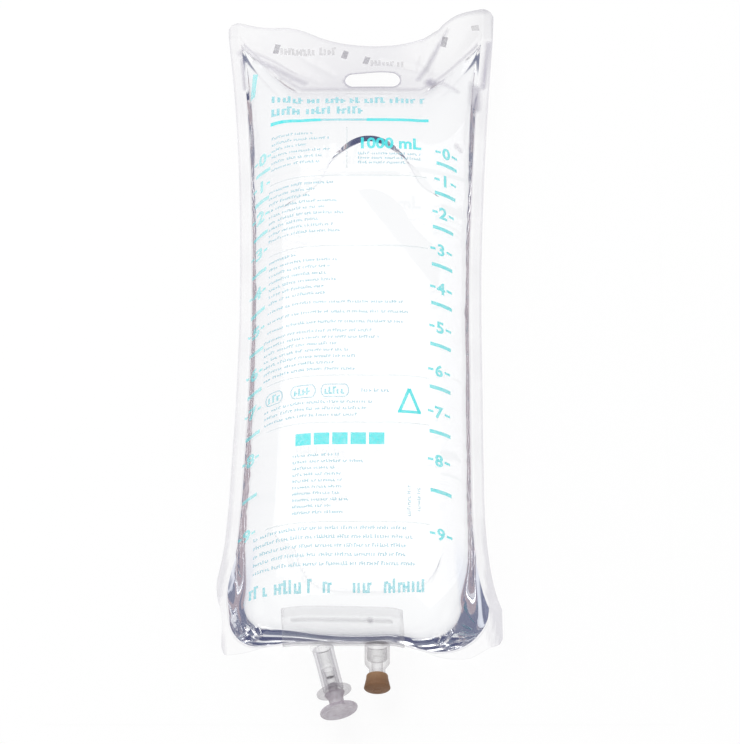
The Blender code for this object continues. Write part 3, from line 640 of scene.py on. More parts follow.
def bubble_tool():
    """The air as a closed body, level underneath.

    At its far end it has a round lower rim and a shoulder that leans in above it. Along its sides it runs out
    past the film, so that there the level liquid simply thins away under the film.
    """
    work = bmesh.new()
    quarter = [0.5 * math.pi * step / 8 for step in range(9)]
    profile = [(-0.0080, 0.0, 0.0)]
    for angle in quarter:
        out = -BUBBLE_RIM_ROUND + BUBBLE_RIM_ROUND * math.sin(angle)
        profile.append((out, BUBBLE_RIM_RISE * (1.0 - math.cos(angle)), 0.0))
    for step in range(1, 10):
        inward = BUBBLE_SHOULDER_REACH * step / 9
        profile.append((0.0, BUBBLE_RIM_RISE + inward * BUBBLE_SHOULDER_SLOPE, inward))
    profile.append((0.0, 0.0120, 0.0050))
    rings = []
    for out, up, inward in profile:
        ring = []
        for step in range(BUBBLE_STEPS):
            angle = math.tau * step / BUBBLE_STEPS
            across, ahead = math.cos(angle), math.sin(angle)
            far = ahead > 0.0
            power = BUBBLE_FAR_POWER if far else BUBBLE_NEAR_POWER
            reach = BUBBLE_FAR_REACH if far else BUBBLE_NEAR_REACH
            share_x = math.copysign(abs(across) ** (2.0 / power), across)
            share_y = math.copysign(abs(ahead) ** (2.0 / power), ahead)
            normal = Vector((math.copysign(abs(share_x) ** (power - 1.0), share_x) / BUBBLE_HALF_WIDTH,
                             math.copysign(abs(share_y) ** (power - 1.0), share_y) / reach)).normalized()
            lean = 2.5 * float(smooth_step((ahead - 0.66) / 0.34)) - 1.5 if far else -1.5
            behind = max(0.0, inward - (0.0012 if far else 0.0004)) if lean < 0.0 else inward
            beside = float(smooth_step((0.80 - ahead) / 0.22) if far else smooth_step((0.62 + ahead) / 0.25))
            sharp = max(lean, 0.15) if out > -0.0079 else 1.0
            place = Vector((BUBBLE_HALF_WIDTH * share_x, reach * share_y))
            place += normal * (out * sharp - behind * lean + BUBBLE_OVERRUN * beside)
            x, y = place.x + BUBBLE_MIDDLE[0], place.y + BUBBLE_MIDDLE[1]
            ring.append(work.verts.new((x, y, LIQUID_LEVEL + up)))
        rings.append(ring)
    for inner, outer in zip(rings, rings[1:]):
        band(work, inner, outer)
    work.faces.new(rings[0])
    work.faces.new(rings[-1][::-1])
    bmesh.ops.recalc_face_normals(work, faces=work.faces)
    return finished("bubble_tool", work)


s_liquid, t_liquid = chamber_columns(COLUMNS), chamber_rows(FOLD_ROWS, ROWS)
liquid = closed_skin("saline_fill", wall_grid(s_liquid, t_liquid, 1, -LIQUID_GAP),
                     wall_grid(s_liquid, t_liquid, -1, -LIQUID_GAP))
liquid = cut_from(liquid, bubble_tool(), 0.3)
liquid.visible_shadow = False
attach(liquid, "bag")
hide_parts("saline")

# The liquid's colour is darkened where it crowds into the foot's corners: painted shade, standing in for the
# light that enters there and does not come back.
x, y, z = vertex_places(liquid).T
y_in = y - FOLD_Y
inside = half_width(np.clip(y_in / CHAMBER_LENGTH, 0.0, 1.0), x) - np.abs(x)
painted_corner_shade = smooth_step((0.011 - inside) / 0.003) * smooth_step((0.062 - y_in) / 0.030)
store(liquid, "painted_corner_shade", painted_corner_shade)


def two_tone(tree, factor, first, second):
    """A blend of two colours, each three numbers or a socket."""
    tones = [tone if isinstance(tone, bpy.types.NodeSocket) else (*tone, 1.0) for tone in (first, second)]
    mix = add_node(tree, "Mix", {"Factor": factor, "A": tones[0], "B": tones[1]}, data_type="RGBA")
    return mix.outputs["Result"]


WATER = (0.985, 0.993, 1.0)
liquid_look, tree, shader = new_material("saline", WATER, 0.0, 1.333)
shader.inputs["Transmission Weight"].default_value = 1.0
# The water's colour turns darker blue-grey in the foot's corners: painted shade.
water = two_tone(tree, stored(tree, "painted_corner_shade"), WATER, (0.76, 0.80, 0.90))
tree.links.new(water, shader.inputs["Base Color"])
put_on(liquid, liquid_look)

# The port saddle: a moulded strip of milky plastic, welded over the outside of the fold. A raised rib runs
# along it, its moulding gate shows as a cloudier spot on the rib, and each port stands on it on a round foot.
SEAT_GAP = 0.00015
SADDLE_WALL = 0.0006
SADDLE_LEFT = -0.0360
SADDLE_RIGHT = 0.0210
SADDLE_REACH = 0.0110
SADDLE_SKEW = 0.0010
SADDLE_COLUMNS = 61
SADDLE_ROWS = 37
RIB_AT = 0.0066
RIB_DROP = 0.0045
RIB_RISE = 0.00045


def saddle_grid(grow, face):
    """One face of the saddle's wrap, from the fold up the front (1) or the back (-1)."""
    s = np.linspace(SADDLE_LEFT / FOOT_HALF, SADDLE_RIGHT / FOOT_HALF, SADDLE_COLUMNS)
    reach = SADDLE_REACH + SADDLE_SKEW * np.linspace(1.0, 0.0, SADDLE_COLUMNS)
    t = reach[None, :] / CHAMBER_LENGTH * (np.arange(SADDLE_ROWS)[:, None] / (SADDLE_ROWS - 1)) ** 2.0
    points = chamber_points(np.broadcast_to(s[None, :], t.shape), t, face, grow)
    return points[::-1] if face > 0 else points[1:]


def saddle_wrap(grow):
    """Front and back of the wrap as one grid."""
    return np.concatenate([saddle_grid(grow, 1), saddle_grid(grow, -1)], axis=0)


outer = saddle_wrap(FILM + SEAT_GAP + SADDLE_WALL)
inner = saddle_wrap(FILM + SEAT_GAP)
along = np.linspace(0.0, 1.0, outer.shape[1])
middle = outer[:, SADDLE_COLUMNS // 2, 1]
rib_rows = np.abs(middle - (middle[0] - SADDLE_REACH + RIB_AT)) / 0.0006
rib_ends = smooth_step(np.minimum(along - 0.12, 0.90 - along) / 0.03)
rib = RIB_RISE * np.exp(-rib_rows ** 2)[:, None] * rib_ends[None, :]
rib = np.where(outer[..., 2] > SEAM_HEIGHT, rib, 0.0)
outward = outer - inner
outer = outer + outward / np.linalg.norm(outward, axis=-1, keepdims=True) * rib[..., None]
saddle = closed_skin("port_saddle_wrap", outer, inner)
x, y, z = vertex_places(saddle).T
below_top = np.interp(x, outer[0, :, 0], outer[0, :, 1]) - y
from_end = np.minimum(x - outer[0, 0, 0], outer[0, -1, 0] - x)
haze_and_shade = 0.04 + 0.09 * smooth_step((0.0036 - below_top) / 0.0010)
haze_and_shade = haze_and_shade + 0.12 * smooth_step((0.0016 - from_end) / 0.0008)
haze_and_shade = haze_and_shade + 0.34 * np.exp(-((below_top - RIB_DROP) / 0.0004) ** 2) * (from_end > 0.0045)
haze_and_shade = haze_and_shade + 0.60 * np.exp(-(((x - 0.0048) / 0.0010) ** 2 + ((below_top - RIB_DROP) / 0.0006) ** 2))
store(saddle, "haze_and_shade", np.clip(np.where(z > SEAM_HEIGHT, haze_and_shade, 0.10), 0.0, 0.9))
edges = saddle.modifiers.new("soft_edges", "BEVEL")
edges.width = 0.00025
edges.segments = 2
edges.limit_method = "ANGLE"
edges.angle_limit = math.radians(60.0)
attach(saddle, "bag")
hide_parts("port_saddle")


def moulding_group():
    """The faint mottle of moulded plastic and rubber, as a height and as light and dark."""
    group, taken, given = surface_group("moulding_mottle", ("Height", "Mottle"))
    place = add_node(group, "TexCoord").outputs["Object"]
    cloud = add_node(group, "TexNoise", {"Vector": place, "Scale": taken.outputs["Scale"], "Detail": 4.0})
    spots = add_node(group, "MapRange", {"Value": cloud.outputs["Fac"], "From Min": 0.3, "From Max": 0.7})
    height = calc(group, "MULTIPLY", cloud.outputs["Fac"], taken.outputs["Strength"])
    group.links.new(height, given.inputs["Height"])
    group.links.new(spots.outputs["Result"], given.inputs["Mottle"])
    return group


mottle = moulding_group()


def moulded(name, colour, roughness, grain, strength, depth):
    """A moulded plastic or rubber. Returns the material, its tree, its shader and its light and dark."""
    made, tree, shader = new_material(name, colour, roughness)
    clouded = add_group(tree, mottle, grain, strength)
    add_bump(tree, shader, clouded.outputs["Height"], depth)
    return made, tree, shader, clouded.outputs["Mottle"]


saddle_look, tree, shader, spots = moulded("milky_moulding", (0.70, 0.69, 0.73), 0.35, 420.0, 1.0, 0.0003)
tree.links.new(two_tone(tree, spots, (0.50, 0.49, 0.53), (0.60, 0.59, 0.62)), shader.inputs["Base Color"])
edge_alpha(tree, shader, stored(tree, "haze_and_shade"), 0.50, 0.30, True)
put_on(saddle, saddle_look)

# The ports are turned parts, made along their own axes: the set port leans to one side and the additive
# port stands straight. Every rim is rounded, as it is when it comes out of its mould.
SET_ROOT = Vector((-0.0173, -0.16025, 0.0155))
SET_LEAN = math.radians(13.7)
ADDITIVE_ROOT = Vector((0.0081, -0.15905, 0.0155))


def port_frame(root, lean):
    """A frame at a port's root whose Z runs out along the port."""
    return Matrix.Translation(root) @ Matrix.Rotation(lean, 4, "Z") @ Matrix.Rotation(0.5 * math.pi, 4, "X")


def rounded(profile, radius, closed):
    """A profile with each corner between two edges cut to a small round."""
    count = len(profile)
    made = []
    for index, point in enumerate(profile):
        here = Vector(point)
        if not closed and index in (0, count - 1):
            made.append(here)
            continue
        before = Vector(profile[index - 1]) - here
        after = Vector(profile[(index + 1) % count]) - here
        turn = before.angle(after, math.pi)
        reach = min(radius, 0.4 * before.length, 0.4 * after.length)
        if turn > math.radians(170.0):
            made.append(here)
            continue
        start, end = here + before.normalized() * reach, here + after.normalized() * reach
        for step in range(5):
            part = step / 4
            made.append(start.lerp(here, part).lerp(here.lerp(end, part), part))
    return made


def turned(name, frame, profile, radius, closed=True, steps=72, grip=None):
    """A solid turned about a port's axis from (radius, height) points, with its corners rounded.

    grip may draw a point of it in or out: it takes radius, height and angle and gives the new radius.
    """
    work = bmesh.new()
    rings = []
    for point in rounded(profile, radius, closed):
        if point[0] < 1e-7:
            rings.append([work.verts.new((0.0, 0.0, point[1]))])
            continue
        ring = []
        for step in range(steps):
            angle = math.tau * step / steps
            reach = grip(point[0], point[1], angle) if grip else point[0]
            ring.append(work.verts.new((reach * math.cos(angle), reach * math.sin(angle), point[1])))
        rings.append(ring)
    for one, two in zip(rings, rings[1:] + rings[:1] if closed else rings[1:]):
        band(work, one, two)
    bmesh.ops.recalc_face_normals(work, faces=work.faces)
    item = finished(name, work, 0.9)
    item.matrix_world = frame
    return item


spigot_look, tree, shader, _ = moulded("clear_moulding", (0.62, 0.60, 0.65), 0.30, 420.0, 0.6, 0.0002)
edge_alpha(tree, shader, 0.010, 0.12, 0.30)
set_frame = port_frame(SET_ROOT, SET_LEAN)
additive_frame = port_frame(ADDITIVE_ROOT, 0.0)
SPIGOT_REACH_BACK = 0.0028
for name, frame_here, collar, seat, spigot, bore, length in (
        ("set_port_spigot", set_frame, 0.0056, 0.0010, 0.0032, 0.0022, 0.0065),
        ("additive_port_spigot", additive_frame, 0.0062, 0.0005, 0.0045, 0.0033, 0.0042)):
    back = seat - SPIGOT_REACH_BACK
    foot = turned(name, frame_here, [
        (bore, seat + length), (spigot, seat + length), (spigot, back), (collar, back),
        (collar + 0.0006, -0.0003 - SPIGOT_REACH_BACK), (collar, -0.0012 - SPIGOT_REACH_BACK),
        (bore, -0.0012 - SPIGOT_REACH_BACK)], 0.0004)
    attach(foot, "bag")
    put_on(foot, spigot_look)

# The set port: a soft clear tube pushed over its spigot, a stiff sleeve with a flange in the tube's end,
# and a diaphragm across the sleeve's bore that the spike goes through.
TUBE_START = -0.0016
TUBE_END = 0.0204
TUBE_RADIUS = 0.0050
TUBE_BORE = 0.0037
tube = turned("set_port_soft_tube", set_frame, [
    (TUBE_RADIUS, TUBE_END), (TUBE_RADIUS, TUBE_START + 0.004), (TUBE_RADIUS + 0.0002, TUBE_START),
    (TUBE_BORE, TUBE_START), (TUBE_BORE, TUBE_END)], 0.0005)
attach(tube, "bag")
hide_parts("set_port_tube")
tube_look, tree, shader, _ = moulded("soft_clear_tube", (0.55, 0.53, 0.59), 0.22, 260.0, 0.6, 0.0002)
edge_alpha(tree, shader, 0.05, 0.72, 0.30)
put_on(tube, tube_look)

FLANGE_RADIUS = 0.0084
SLEEVE_FACE = 0.0207
SLEEVE_MOUTH = 0.0220
sleeve = turned("set_port_stiff_sleeve", set_frame, [
    (0.0, 0.0140), (0.0025, 0.0140), (0.0025, SLEEVE_MOUTH), (FLANGE_RADIUS - 0.0008, SLEEVE_MOUTH),
    (FLANGE_RADIUS, SLEEVE_MOUTH - 0.0002), (FLANGE_RADIUS, SLEEVE_FACE), (0.0034, SLEEVE_FACE),
    (0.0034, 0.0096), (0.0025, 0.0096), (0.0025, 0.0134), (0.0, 0.0134)], 0.0003, False)
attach(sleeve, "bag")
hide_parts("set_port_sleeve")
x, y, z = vertex_places(sleeve).T
store(sleeve, "haze_and_shade", 0.03 + 0.22 * smooth_step((np.hypot(x, y) - 0.0048) / 0.001))
sleeve_look, tree, shader, _ = moulded("stiff_clear_plastic", (0.45, 0.42, 0.46), 0.12, 300.0, 0.5, 0.00015)
edge_alpha(tree, shader, stored(tree, "haze_and_shade"), 0.55, 0.30)
put_on(sleeve, sleeve_look)

# The pull-off cap, of frosted plastic: a plug in the sleeve's bore, a waisted neck, and a round disc to
# grip, dished in front, with fine grip notches round its rim. It comes away along the port's axis.
CAP_NOTCHES = 24
CAP_DISC = 0.0091
NECK_END = 0.0080


def notched(radius, height, angle):
    """Draw the disc's rim in at its grip notches."""
    if radius < CAP_DISC - 0.0004:
        return radius
    return radius - 0.00022 * (0.5 - 0.5 * math.cos(CAP_NOTCHES * angle)) ** 2


cap_frame = set_frame @ Matrix.Translation((0.0, 0.0, SLEEVE_MOUTH))
cap = turned("set_port_pull_cap", cap_frame, [
    (0.0, NECK_END + 0.0014), (0.0035, NECK_END + 0.0014), (0.0062, NECK_END + 0.0017),
    (0.0070, NECK_END + 0.0022), (CAP_DISC - 0.0006, NECK_END + 0.0022), (CAP_DISC, NECK_END + 0.0015),
    (CAP_DISC, NECK_END + 0.0007), (CAP_DISC - 0.0007, NECK_END), (0.0046, NECK_END),
    (0.0036, NECK_END - 0.0012), (0.0035, 0.0040), (0.0038, 0.0022), (0.0051, 0.0003), (0.0022, 0.0003),
    (0.0022, -0.0047), (0.0, -0.0047)], 0.0004, False, 144, notched)
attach(cap, "set_port_cap")
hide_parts("set_port_cap")
cap_look, tree, shader, spots = moulded("frosted_cap", (0.45, 0.41, 0.45), 0.30, 380.0, 1.0, 0.0004)
tree.links.new(two_tone(tree, spots, (0.36, 0.30, 0.35), (0.52, 0.48, 0.54)), shader.inputs["Base Color"])
edge_alpha(tree, shader, 0.50, 0.85, 0.35)
put_on(cap, cap_look)

# The additive port: a stepped neck of stiff clear plastic, push-fitted on its spigot, and a brown rubber
# stopper. The stopper's skirt is stretched over the neck's tip and its stem plugs the bore. It flares to
# a domed end with a ring that shows where the needle goes.
NECK_START = -0.0021
NECK_BASE_END = 0.0073
NECK_STEP_END = 0.0101
NECK_TIP = 0.0167
neck = turned("additive_port_stepped_neck", additive_frame, [
    (0.0039, NECK_TIP), (0.0039, NECK_STEP_END), (0.0060, NECK_BASE_END), (0.0060, NECK_START),
    (0.0048, NECK_START), (0.0048, 0.0053), (0.0027, 0.0053), (0.0027, NECK_TIP)], 0.0005)
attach(neck, "bag")
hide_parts("additive_port_neck")
neck_look, tree, shader, _ = moulded("clear_neck", (0.56, 0.53, 0.55), 0.12, 300.0, 0.5, 0.00015)
edge_alpha(tree, shader, 0.06, 0.75, 0.30)
put_on(neck, neck_look)

STOPPER_LIP = 0.0135
STOPPER_END = 0.0217
STOPPER_FLARE = 0.0063
dome = [(0.0, STOPPER_END), (0.0016, STOPPER_END - 0.0001), (0.0019, STOPPER_END - 0.0003),
        (0.0022, STOPPER_END - 0.0003), (0.0025, STOPPER_END - 0.0001)]
dome += [(STOPPER_FLARE * math.sin(angle), STOPPER_END - 0.0018 + 0.0018 * math.cos(angle))
         for angle in (math.radians(degrees) for degrees in (28, 42, 56, 70, 82, 90))]
waist = [(0.0052 + (STOPPER_FLARE - 0.0052) * (1.0 - part) ** 1.1, STOPPER_END - 0.0018 - 0.0050 * part)
         for part in (step / 8 for step in range(1, 9))]
stopper = turned("additive_port_rubber_stopper", additive_frame, dome + waist + [
    (0.0052, STOPPER_LIP + 0.0007), (0.0050, STOPPER_LIP), (0.0042, STOPPER_LIP), (0.0042, NECK_TIP + 0.0003),
    (0.0024, NECK_TIP + 0.0003), (0.0024, 0.0125), (0.0, 0.0125)], 0.0003, False, 96)
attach(stopper, "bag")
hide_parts("additive_port_stopper")
stopper_look, tree, shader, _ = moulded("brown_rubber", (0.185, 0.080, 0.030), 0.62, 900.0, 1.0, 0.0005)
place = add_node(tree, "TexCoord").outputs["Object"]
height = add_node(tree, "SeparateXYZ", {"Vector": place}).outputs["Z"]
fade = add_node(tree, "MapRange", {"Value": height, "From Min": STOPPER_LIP,
                                   "From Max": STOPPER_LIP + 0.0045})
rubber = two_tone(tree, fade.outputs["Result"], (0.30, 0.17, 0.085), (0.19, 0.092, 0.040))
tree.links.new(rubber, shader.inputs["Base Color"])
put_on(stopper, stopper_look)

# The label is cyan ink on the front film, draped over every fold. The scale down both sides has its real
# numbers and the capacity is spelt out. All the other rows are only strokes in the rhythm of words.
INK_LIFT = 0.00012
NUMERAL_WEIGHT = 0.034
DRAPE_STEP = 1.1
film_faces = BVHTree.FromObject(film, bpy.context.evaluated_depsgraph_get())


def on_film(x, y):
    """A place just above the front film."""
    hit, normal, _, _ = film_faces.ray_cast(Vector((x, y, 0.08)), Vector((0.0, 0.0, -1.0)))
    return hit + normal * INK_LIFT


def stroke(work, start, end, width):
    """A bar of ink from start to end in plan, in millimetres, divided finely enough to follow the film."""
    start, end = Vector(start), Vector(end)
    run = end - start
    across = Vector((-run.y, run.x)).normalized() * 0.5 * width
    long, wide = math.ceil(run.length / DRAPE_STEP), math.ceil(width / DRAPE_STEP)
    rows = []
    for step in range(long + 1):
        middle = start + run * (step / long)
        rows.append([work.verts.new(on_film(*(0.001 * (middle + across * (2.0 * side / wide - 1.0)))))
                     for side in range(wide + 1)])
    for one, two in zip(rows, rows[1:]):
        for side in range(wide):
            work.faces.new((one[side], two[side], two[side + 1], one[side + 1]))


def numerals(work, text, x, y, height, narrow=1.0):
    """Numbers in Blender's plain built-in face, centred on a place in millimetres and draped."""
    curve = bpy.data.curves.new("plain_face", "FONT")
    curve.body = text
    curve.resolution_u = 3
    curve.offset = NUMERAL_WEIGHT
    holder = bpy.data.objects.new("plain_face", curve)
    flat = bmesh.new()
    flat.from_mesh(bpy.data.meshes.new_from_object(holder))
    bpy.data.objects.remove(holder)
    low = [min(vert.co[axis] for vert in flat.verts) for axis in (0, 1)]
    high = [max(vert.co[axis] for vert in flat.verts) for axis in (0, 1)]
    scale = height / (high[1] - low[1])
    width = narrow * scale * (high[0] - low[0])
    for vert in flat.verts:
        vert.co.x = x + narrow * scale * (vert.co.x - 0.5 * (low[0] + high[0]))
        vert.co.y = y + scale * (vert.co.y - 0.5 * (low[1] + high[1]))
    for axis, middle, span in ((0, x, width), (1, y, height)):
        for step in range(1, math.ceil(span / DRAPE_STEP)):
            place, way = Vector(), Vector()
            place[axis], way[axis] = middle - 0.5 * span + step * DRAPE_STEP, 1.0
            bmesh.ops.bisect_plane(flat, geom=flat.verts[:] + flat.edges[:] + flat.faces[:],
                                   plane_co=place, plane_no=way)
    made = {vert: work.verts.new(on_film(0.001 * vert.co.x, 0.001 * vert.co.y)) for vert in flat.verts}
    for face in flat.faces:
        work.faces.new([made[vert] for vert in face.verts])
    flat.free()


def greeked(work, draw, start, length, height, pitch, weight, upright=False):
    """A row of strokes and short arms in the rhythm of words. upright turns the row to run up the bag."""
    def mark(u0, v0, u1, v1):
        one, two = ((-v0, u0), (-v1, u1)) if upright else ((u0, v0), (u1, v1))
        stroke(work, (start[0] + one[0], start[1] + one[1]), (start[0] + two[0], start[1] + two[1]), weight)

    along = 0.0
    while along < length - pitch:
        for _ in range(draw.randint(2, 9)):
            if along > length - pitch:
                break
            top = height * draw.choice((0.70, 0.70, 0.78, 1.0))
            mark(along, 0.0, along, top)
            if draw.random() < 0.75:
                level = draw.choice((0.12, 0.5, 0.9)) * top
                mark(along + 0.5 * weight, level, along + 0.66 * pitch, level)
            along += pitch * draw.uniform(0.9, 1.1)
        along += pitch * 0.8


def ink_material(name, colour, strongest, thinnest):
    """Ink that lies on the film unevenly: thinnest to strongest is how much of it covers."""
    look, tree, shader = new_material(name, colour, 0.45)
    uneven = add_group(tree, mottle, 700.0, 1.0).outputs["Mottle"]
    cover = add_node(tree, "MapRange", {"Value": uneven, "To Min": strongest, "To Max": thinnest})
    tree.links.new(cover.outputs["Result"], shader.inputs["Alpha"])
    return look


def printed(name, work, look):
    """Finish a piece of print that rides on the bag."""
    item = finished(name, work)
    item.visible_shadow = False
    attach(item, "bag")
    put_on(item, look)


CYAN = (0.040, 0.72, 0.75)
bold_ink = ink_material("bold_cyan_ink", CYAN, 0.98, 0.74)
right_scale_ink = ink_material("right_scale_ink", CYAN, 0.84, 0.62)
left_scale_ink = ink_material("left_scale_ink", CYAN, 0.62, 0.34)
middle_ink = ink_material("thin_cyan_ink", (0.10, 0.58, 0.66), 0.76, 0.46)
pale_ink = ink_material("fine_cyan_ink", (0.20, 0.50, 0.60), 0.76, 0.46)
rule_ink = ink_material("faint_rule_ink", (0.30, 0.48, 0.52), 0.26, 0.16)
grey_ink = ink_material("grey_stamp_ink", (0.20, 0.19, 0.23), 0.66, 0.44)
pale_grey_ink = ink_material("pale_grey_ink", (0.36, 0.35, 0.37), 0.42, 0.26)
draw = random.Random(5)

# The scale, printed twice: numbers with a dash each side, and a bar half way between two numbers. The left
# one is thinner ink, and has a plain mark above it.
DIGITS_RIGHT = ((42.6, 101.7), (41.9, 85.7), (40.8, 67.0), (39.6, 46.1), (39.4, 24.6), (38.8, 2.7),
                (38.1, -21.4), (37.9, -44.3), (37.7, -70.3), (38.4, -109.5))
DIGITS_LEFT = ((-48.8, 103.1), (-49.1, 87.7), (-49.6, 71.3), (-50.1, 51.0), (-50.6, 29.1), (-51.1, 8.4),
               (-51.7, -15.4), (-52.2, -36.0), (-52.9, -62.7), (-54.2, -103.8))
NUMERAL_HEIGHT = 6.6
DASH_WIDTH = 1.35
BAR_WIDTH = 2.0
for name, digits, side, ink in (("print_scale_right", DIGITS_RIGHT, 1.0, right_scale_ink),
                                ("print_scale_left", DIGITS_LEFT, -1.0, left_scale_ink)):
    work = bmesh.new()
    for index, (x, y) in enumerate(digits):
        near, far = (2.7, 5.4) if side > 0.0 else (2.4, 4.2)
        numerals(work, str(index), x, y, NUMERAL_HEIGHT, 0.92)
        stroke(work, (x - far, y), (x - near, y), DASH_WIDTH)
        stroke(work, (x + near, y), (x + far, y), DASH_WIDTH)
    for (x0, y0), (x1, y1) in zip(digits, digits[1:]):
        x = 0.5 * (x0 + x1) + 0.5
        y = y0 + 0.42 * (y1 - y0) if side > 0.0 else 0.5 * (y0 + y1)
        reach = 5.1 if side > 0.0 else 3.6
        stroke(work, (x - reach, y), (x + reach, y), BAR_WIDTH)
    if side < 0.0:
        stroke(work, (-54.5, 144.0), (-53.4, 160.0), 2.4)
    printed(name, work, ink)

# The capacity, the broad bar under the top rows, a row of five plain blocks, and a plain triangle.
BAR_Y = 120.6
BLOCKS_Y = -61.2
BLOCK_PITCH = 8.8
work = bmesh.new()
numerals(work, "1000 mL", 15.2, 104.6, 7.2, 0.95)
for x0, x1 in ((-45.0, -20.0), (3.0, 34.0)):
    stroke(work, (x0, BAR_Y), (x1, BAR_Y), 2.1)
for index in range(5):
    stroke(work, (-31.0 + BLOCK_PITCH * index, BLOCKS_Y), (-23.6 + BLOCK_PITCH * index, BLOCKS_Y), 6.4)
for one, two in (((18.1, -46.5), (29.2, -46.5)), ((18.9, -46.5), (23.6, -34.0)),
                 ((28.4, -46.5), (23.6, -34.0))):
    stroke(work, one, two, 1.5)
printed("print_bold", work, bold_ink)

# The two large rows at the top, the bar's thinner middle, the broken row across the foot, and the marks in
# the three rounded boxes.
work = bmesh.new()
greeked(work, draw, (-44.0, 134.8), 79.0, 6.3, 2.6, 1.5)
greeked(work, draw, (-44.0, 125.2), 46.0, 6.3, 2.6, 1.5)
stroke(work, (-20.0, BAR_Y), (3.0, BAR_Y), 1.6)
for x0, length in ((-52.0, 8.0), (-40.0, 16.5), (-17.0, 3.6), (-2.8, 9.0), (11.8, 20.5)):
    greeked(work, draw, (x0, -140.4), length + 1.6, 6.2, 2.3, 1.25)
for x0, x1 in ((-44.0, -39.0), (-31.5, -23.5), (-16.8, -7.6)):
    greeked(work, draw, (x0, -37.2), x1 - x0 + 1.0, 4.0, 1.9, 0.9)
printed("print_title", work, middle_ink)

# The small text: its faint rules, its blocks of lines, and the outlines of the rounded boxes.
BOX_Y = -35.2
BOX_ROUND = 2.2
BOX_HALF = 3.4
work = bmesh.new()
for y in (85.0, 45.0, -27.0, -52.5, -105.5):
    stroke(work, (-45.0, y), (33.0, y), 0.7)
stroke(work, (-6.8, 115.3), (-6.8, 89.3), 0.7)
printed("print_rules", work, rule_ink)
work = bmesh.new()
for x0, top, bottom, shortest, longest in (
        (-44.0, 111.0, 93.0, 18.0, 30.0), (-1.0, 97.5, 92.0, 24.0, 34.0), (-45.0, 80.5, 53.0, 18.0, 40.0),
        (-44.6, 40.5, 18.0, 14.0, 37.0), (-45.0, 13.0, 2.0, 66.0, 72.0), (-46.6, -3.0, -24.0, 24.0, 58.0),
        (-46.0, -42.0, -49.0, 34.0, 56.0), (-32.0, -70.5, -101.0, 14.0, 38.0),
        (-50.5, -109.5, -128.0, 72.0, 79.0)):
    rows = round((top - bottom) / (4.6 if longest > 70.0 else 3.5))
    for row in range(rows + 1):
        greeked(work, draw, (x0, top - (top - bottom) * row / rows), draw.uniform(shortest, longest),
                1.9 if longest > 76.0 else 1.5, 1.15, 0.55)
greeked(work, draw, (0.8, -36.0), 14.0, 1.8, 1.3, 0.5)
greeked(work, draw, (24.0, -102.0), 17.0, 1.6, 1.2, 0.42, True)
greeked(work, draw, (28.6, -99.0), 13.0, 1.6, 1.2, 0.42, True)
for x0, x1 in ((-45.6, -37.6), (-33.4, -21.6), (-18.8, -5.6)):
    corners = []
    for step in range(16):
        angle = math.tau * (step + 0.5) / 16
        across = BOX_ROUND * math.cos(angle)
        end = x0 if across < 0.0 else x1
        corners.append((end + across - math.copysign(BOX_ROUND, across), BOX_Y + BOX_HALF * math.sin(angle)))
    for one, two in zip(corners, corners[1:] + corners[:1]):
        stroke(work, one, two, 0.5)
printed("print_fine", work, pale_ink)

# Grey marks stamped on the tail: four dark blocks, and paler rows of strokes.
work = bmesh.new()
for one, two in (((-43.6, 175.4), (-42.2, 180.4)), ((-8.8, 172.8), (-7.4, 177.3)),
                 ((2.2, 169.6), (3.6, 174.0)), ((42.0, 177.6), (43.2, 182.2))):
    stroke(work, one, two, 2.8)
printed("print_tail_blocks", work, grey_ink)
work = bmesh.new()
greeked(work, draw, (-40.4, 174.6), 29.0, 4.6, 2.0, 1.3)
greeked(work, draw, (5.6, 167.8), 19.0, 4.0, 1.9, 1.2)
stroke(work, (56.4, 186.8), (60.4, 188.4), 1.4)
printed("print_tail_rows", work, pale_grey_ink)

# The stage: a plain white surface, one broad soft lamp, and a pale room. Clear things show the white
# surface where they let the eye through to it, and the dim far side of the room where they bend it aside.
MURK = (0.185, 0.20, 0.29)
DEEP_MURK = (0.06, 0.07, 0.16)
MAUVE = (0.42, 0.34, 0.37)
floor_work = bmesh.new()
bmesh.ops.create_grid(floor_work, x_segments=1, y_segments=1, size=3.0)
floor = finished("white_table", floor_work)
floor.location.z = -0.0004

# The table under the bag, divided finely, so that a shadow can be painted on it where the film lifts from it:
# in front of the foot, under its corners, and along both sides.
over_x, over_y = np.meshgrid(np.linspace(-0.15, 0.15, 241), np.linspace(FOLD_Y - 0.03, FOLD_Y + 0.36, 261))
along = np.clip((over_y - FOLD_Y) / CHAMBER_LENGTH, 0.0, 1.0)
inside = half_width(along, over_x) - np.abs(over_x)
ahead = over_y - FOLD_Y - fold_line(np.clip(over_x / FOOT_HALF, -1.0, 1.0))
corner_x = (np.abs(over_x) - np.where(over_x > 0.0, 0.060, 0.057)) / 0.0080
corner = np.hypot(corner_x, (over_y - FOLD_Y - 0.018) / 0.026)
# Painted shadow on the table: in front of the foot, along both sides, and under the foot's corners.
dim = np.maximum(smooth_step((0.0035 - inside) / 0.003), smooth_step((0.0205 - ahead) / 0.003))
dim = np.maximum(dim, smooth_step((1.15 - corner) / 0.3))
beyond_bag = smooth_step((np.abs(over_x) - 0.080) / 0.004)
dim = dim * (1.0 - beyond_bag * smooth_step((over_y - FOLD_Y - 0.045) / 0.015))
# Painted shade: the murk seen through the liquid is deeper over the far middle of the table.
painted_far_shade = smooth_step((over_y - 0.05) / 0.05) * smooth_step((0.046 - np.abs(over_x)) / 0.010)
patch_work = bmesh.new()
rows = [[patch_work.verts.new((x, y, -0.0002)) for x, y in zip(*line)]
        for line in zip(over_x.tolist(), over_y.tolist())]
for one, two in zip(rows, rows[1:]):
    for col in range(len(one) - 1):
        patch_work.faces.new((one[col], one[col + 1], two[col + 1], two[col]))
patch = finished("white_table_middle", patch_work)
store(patch, "dim", dim)
store(patch, "painted_far_shade", painted_far_shade)
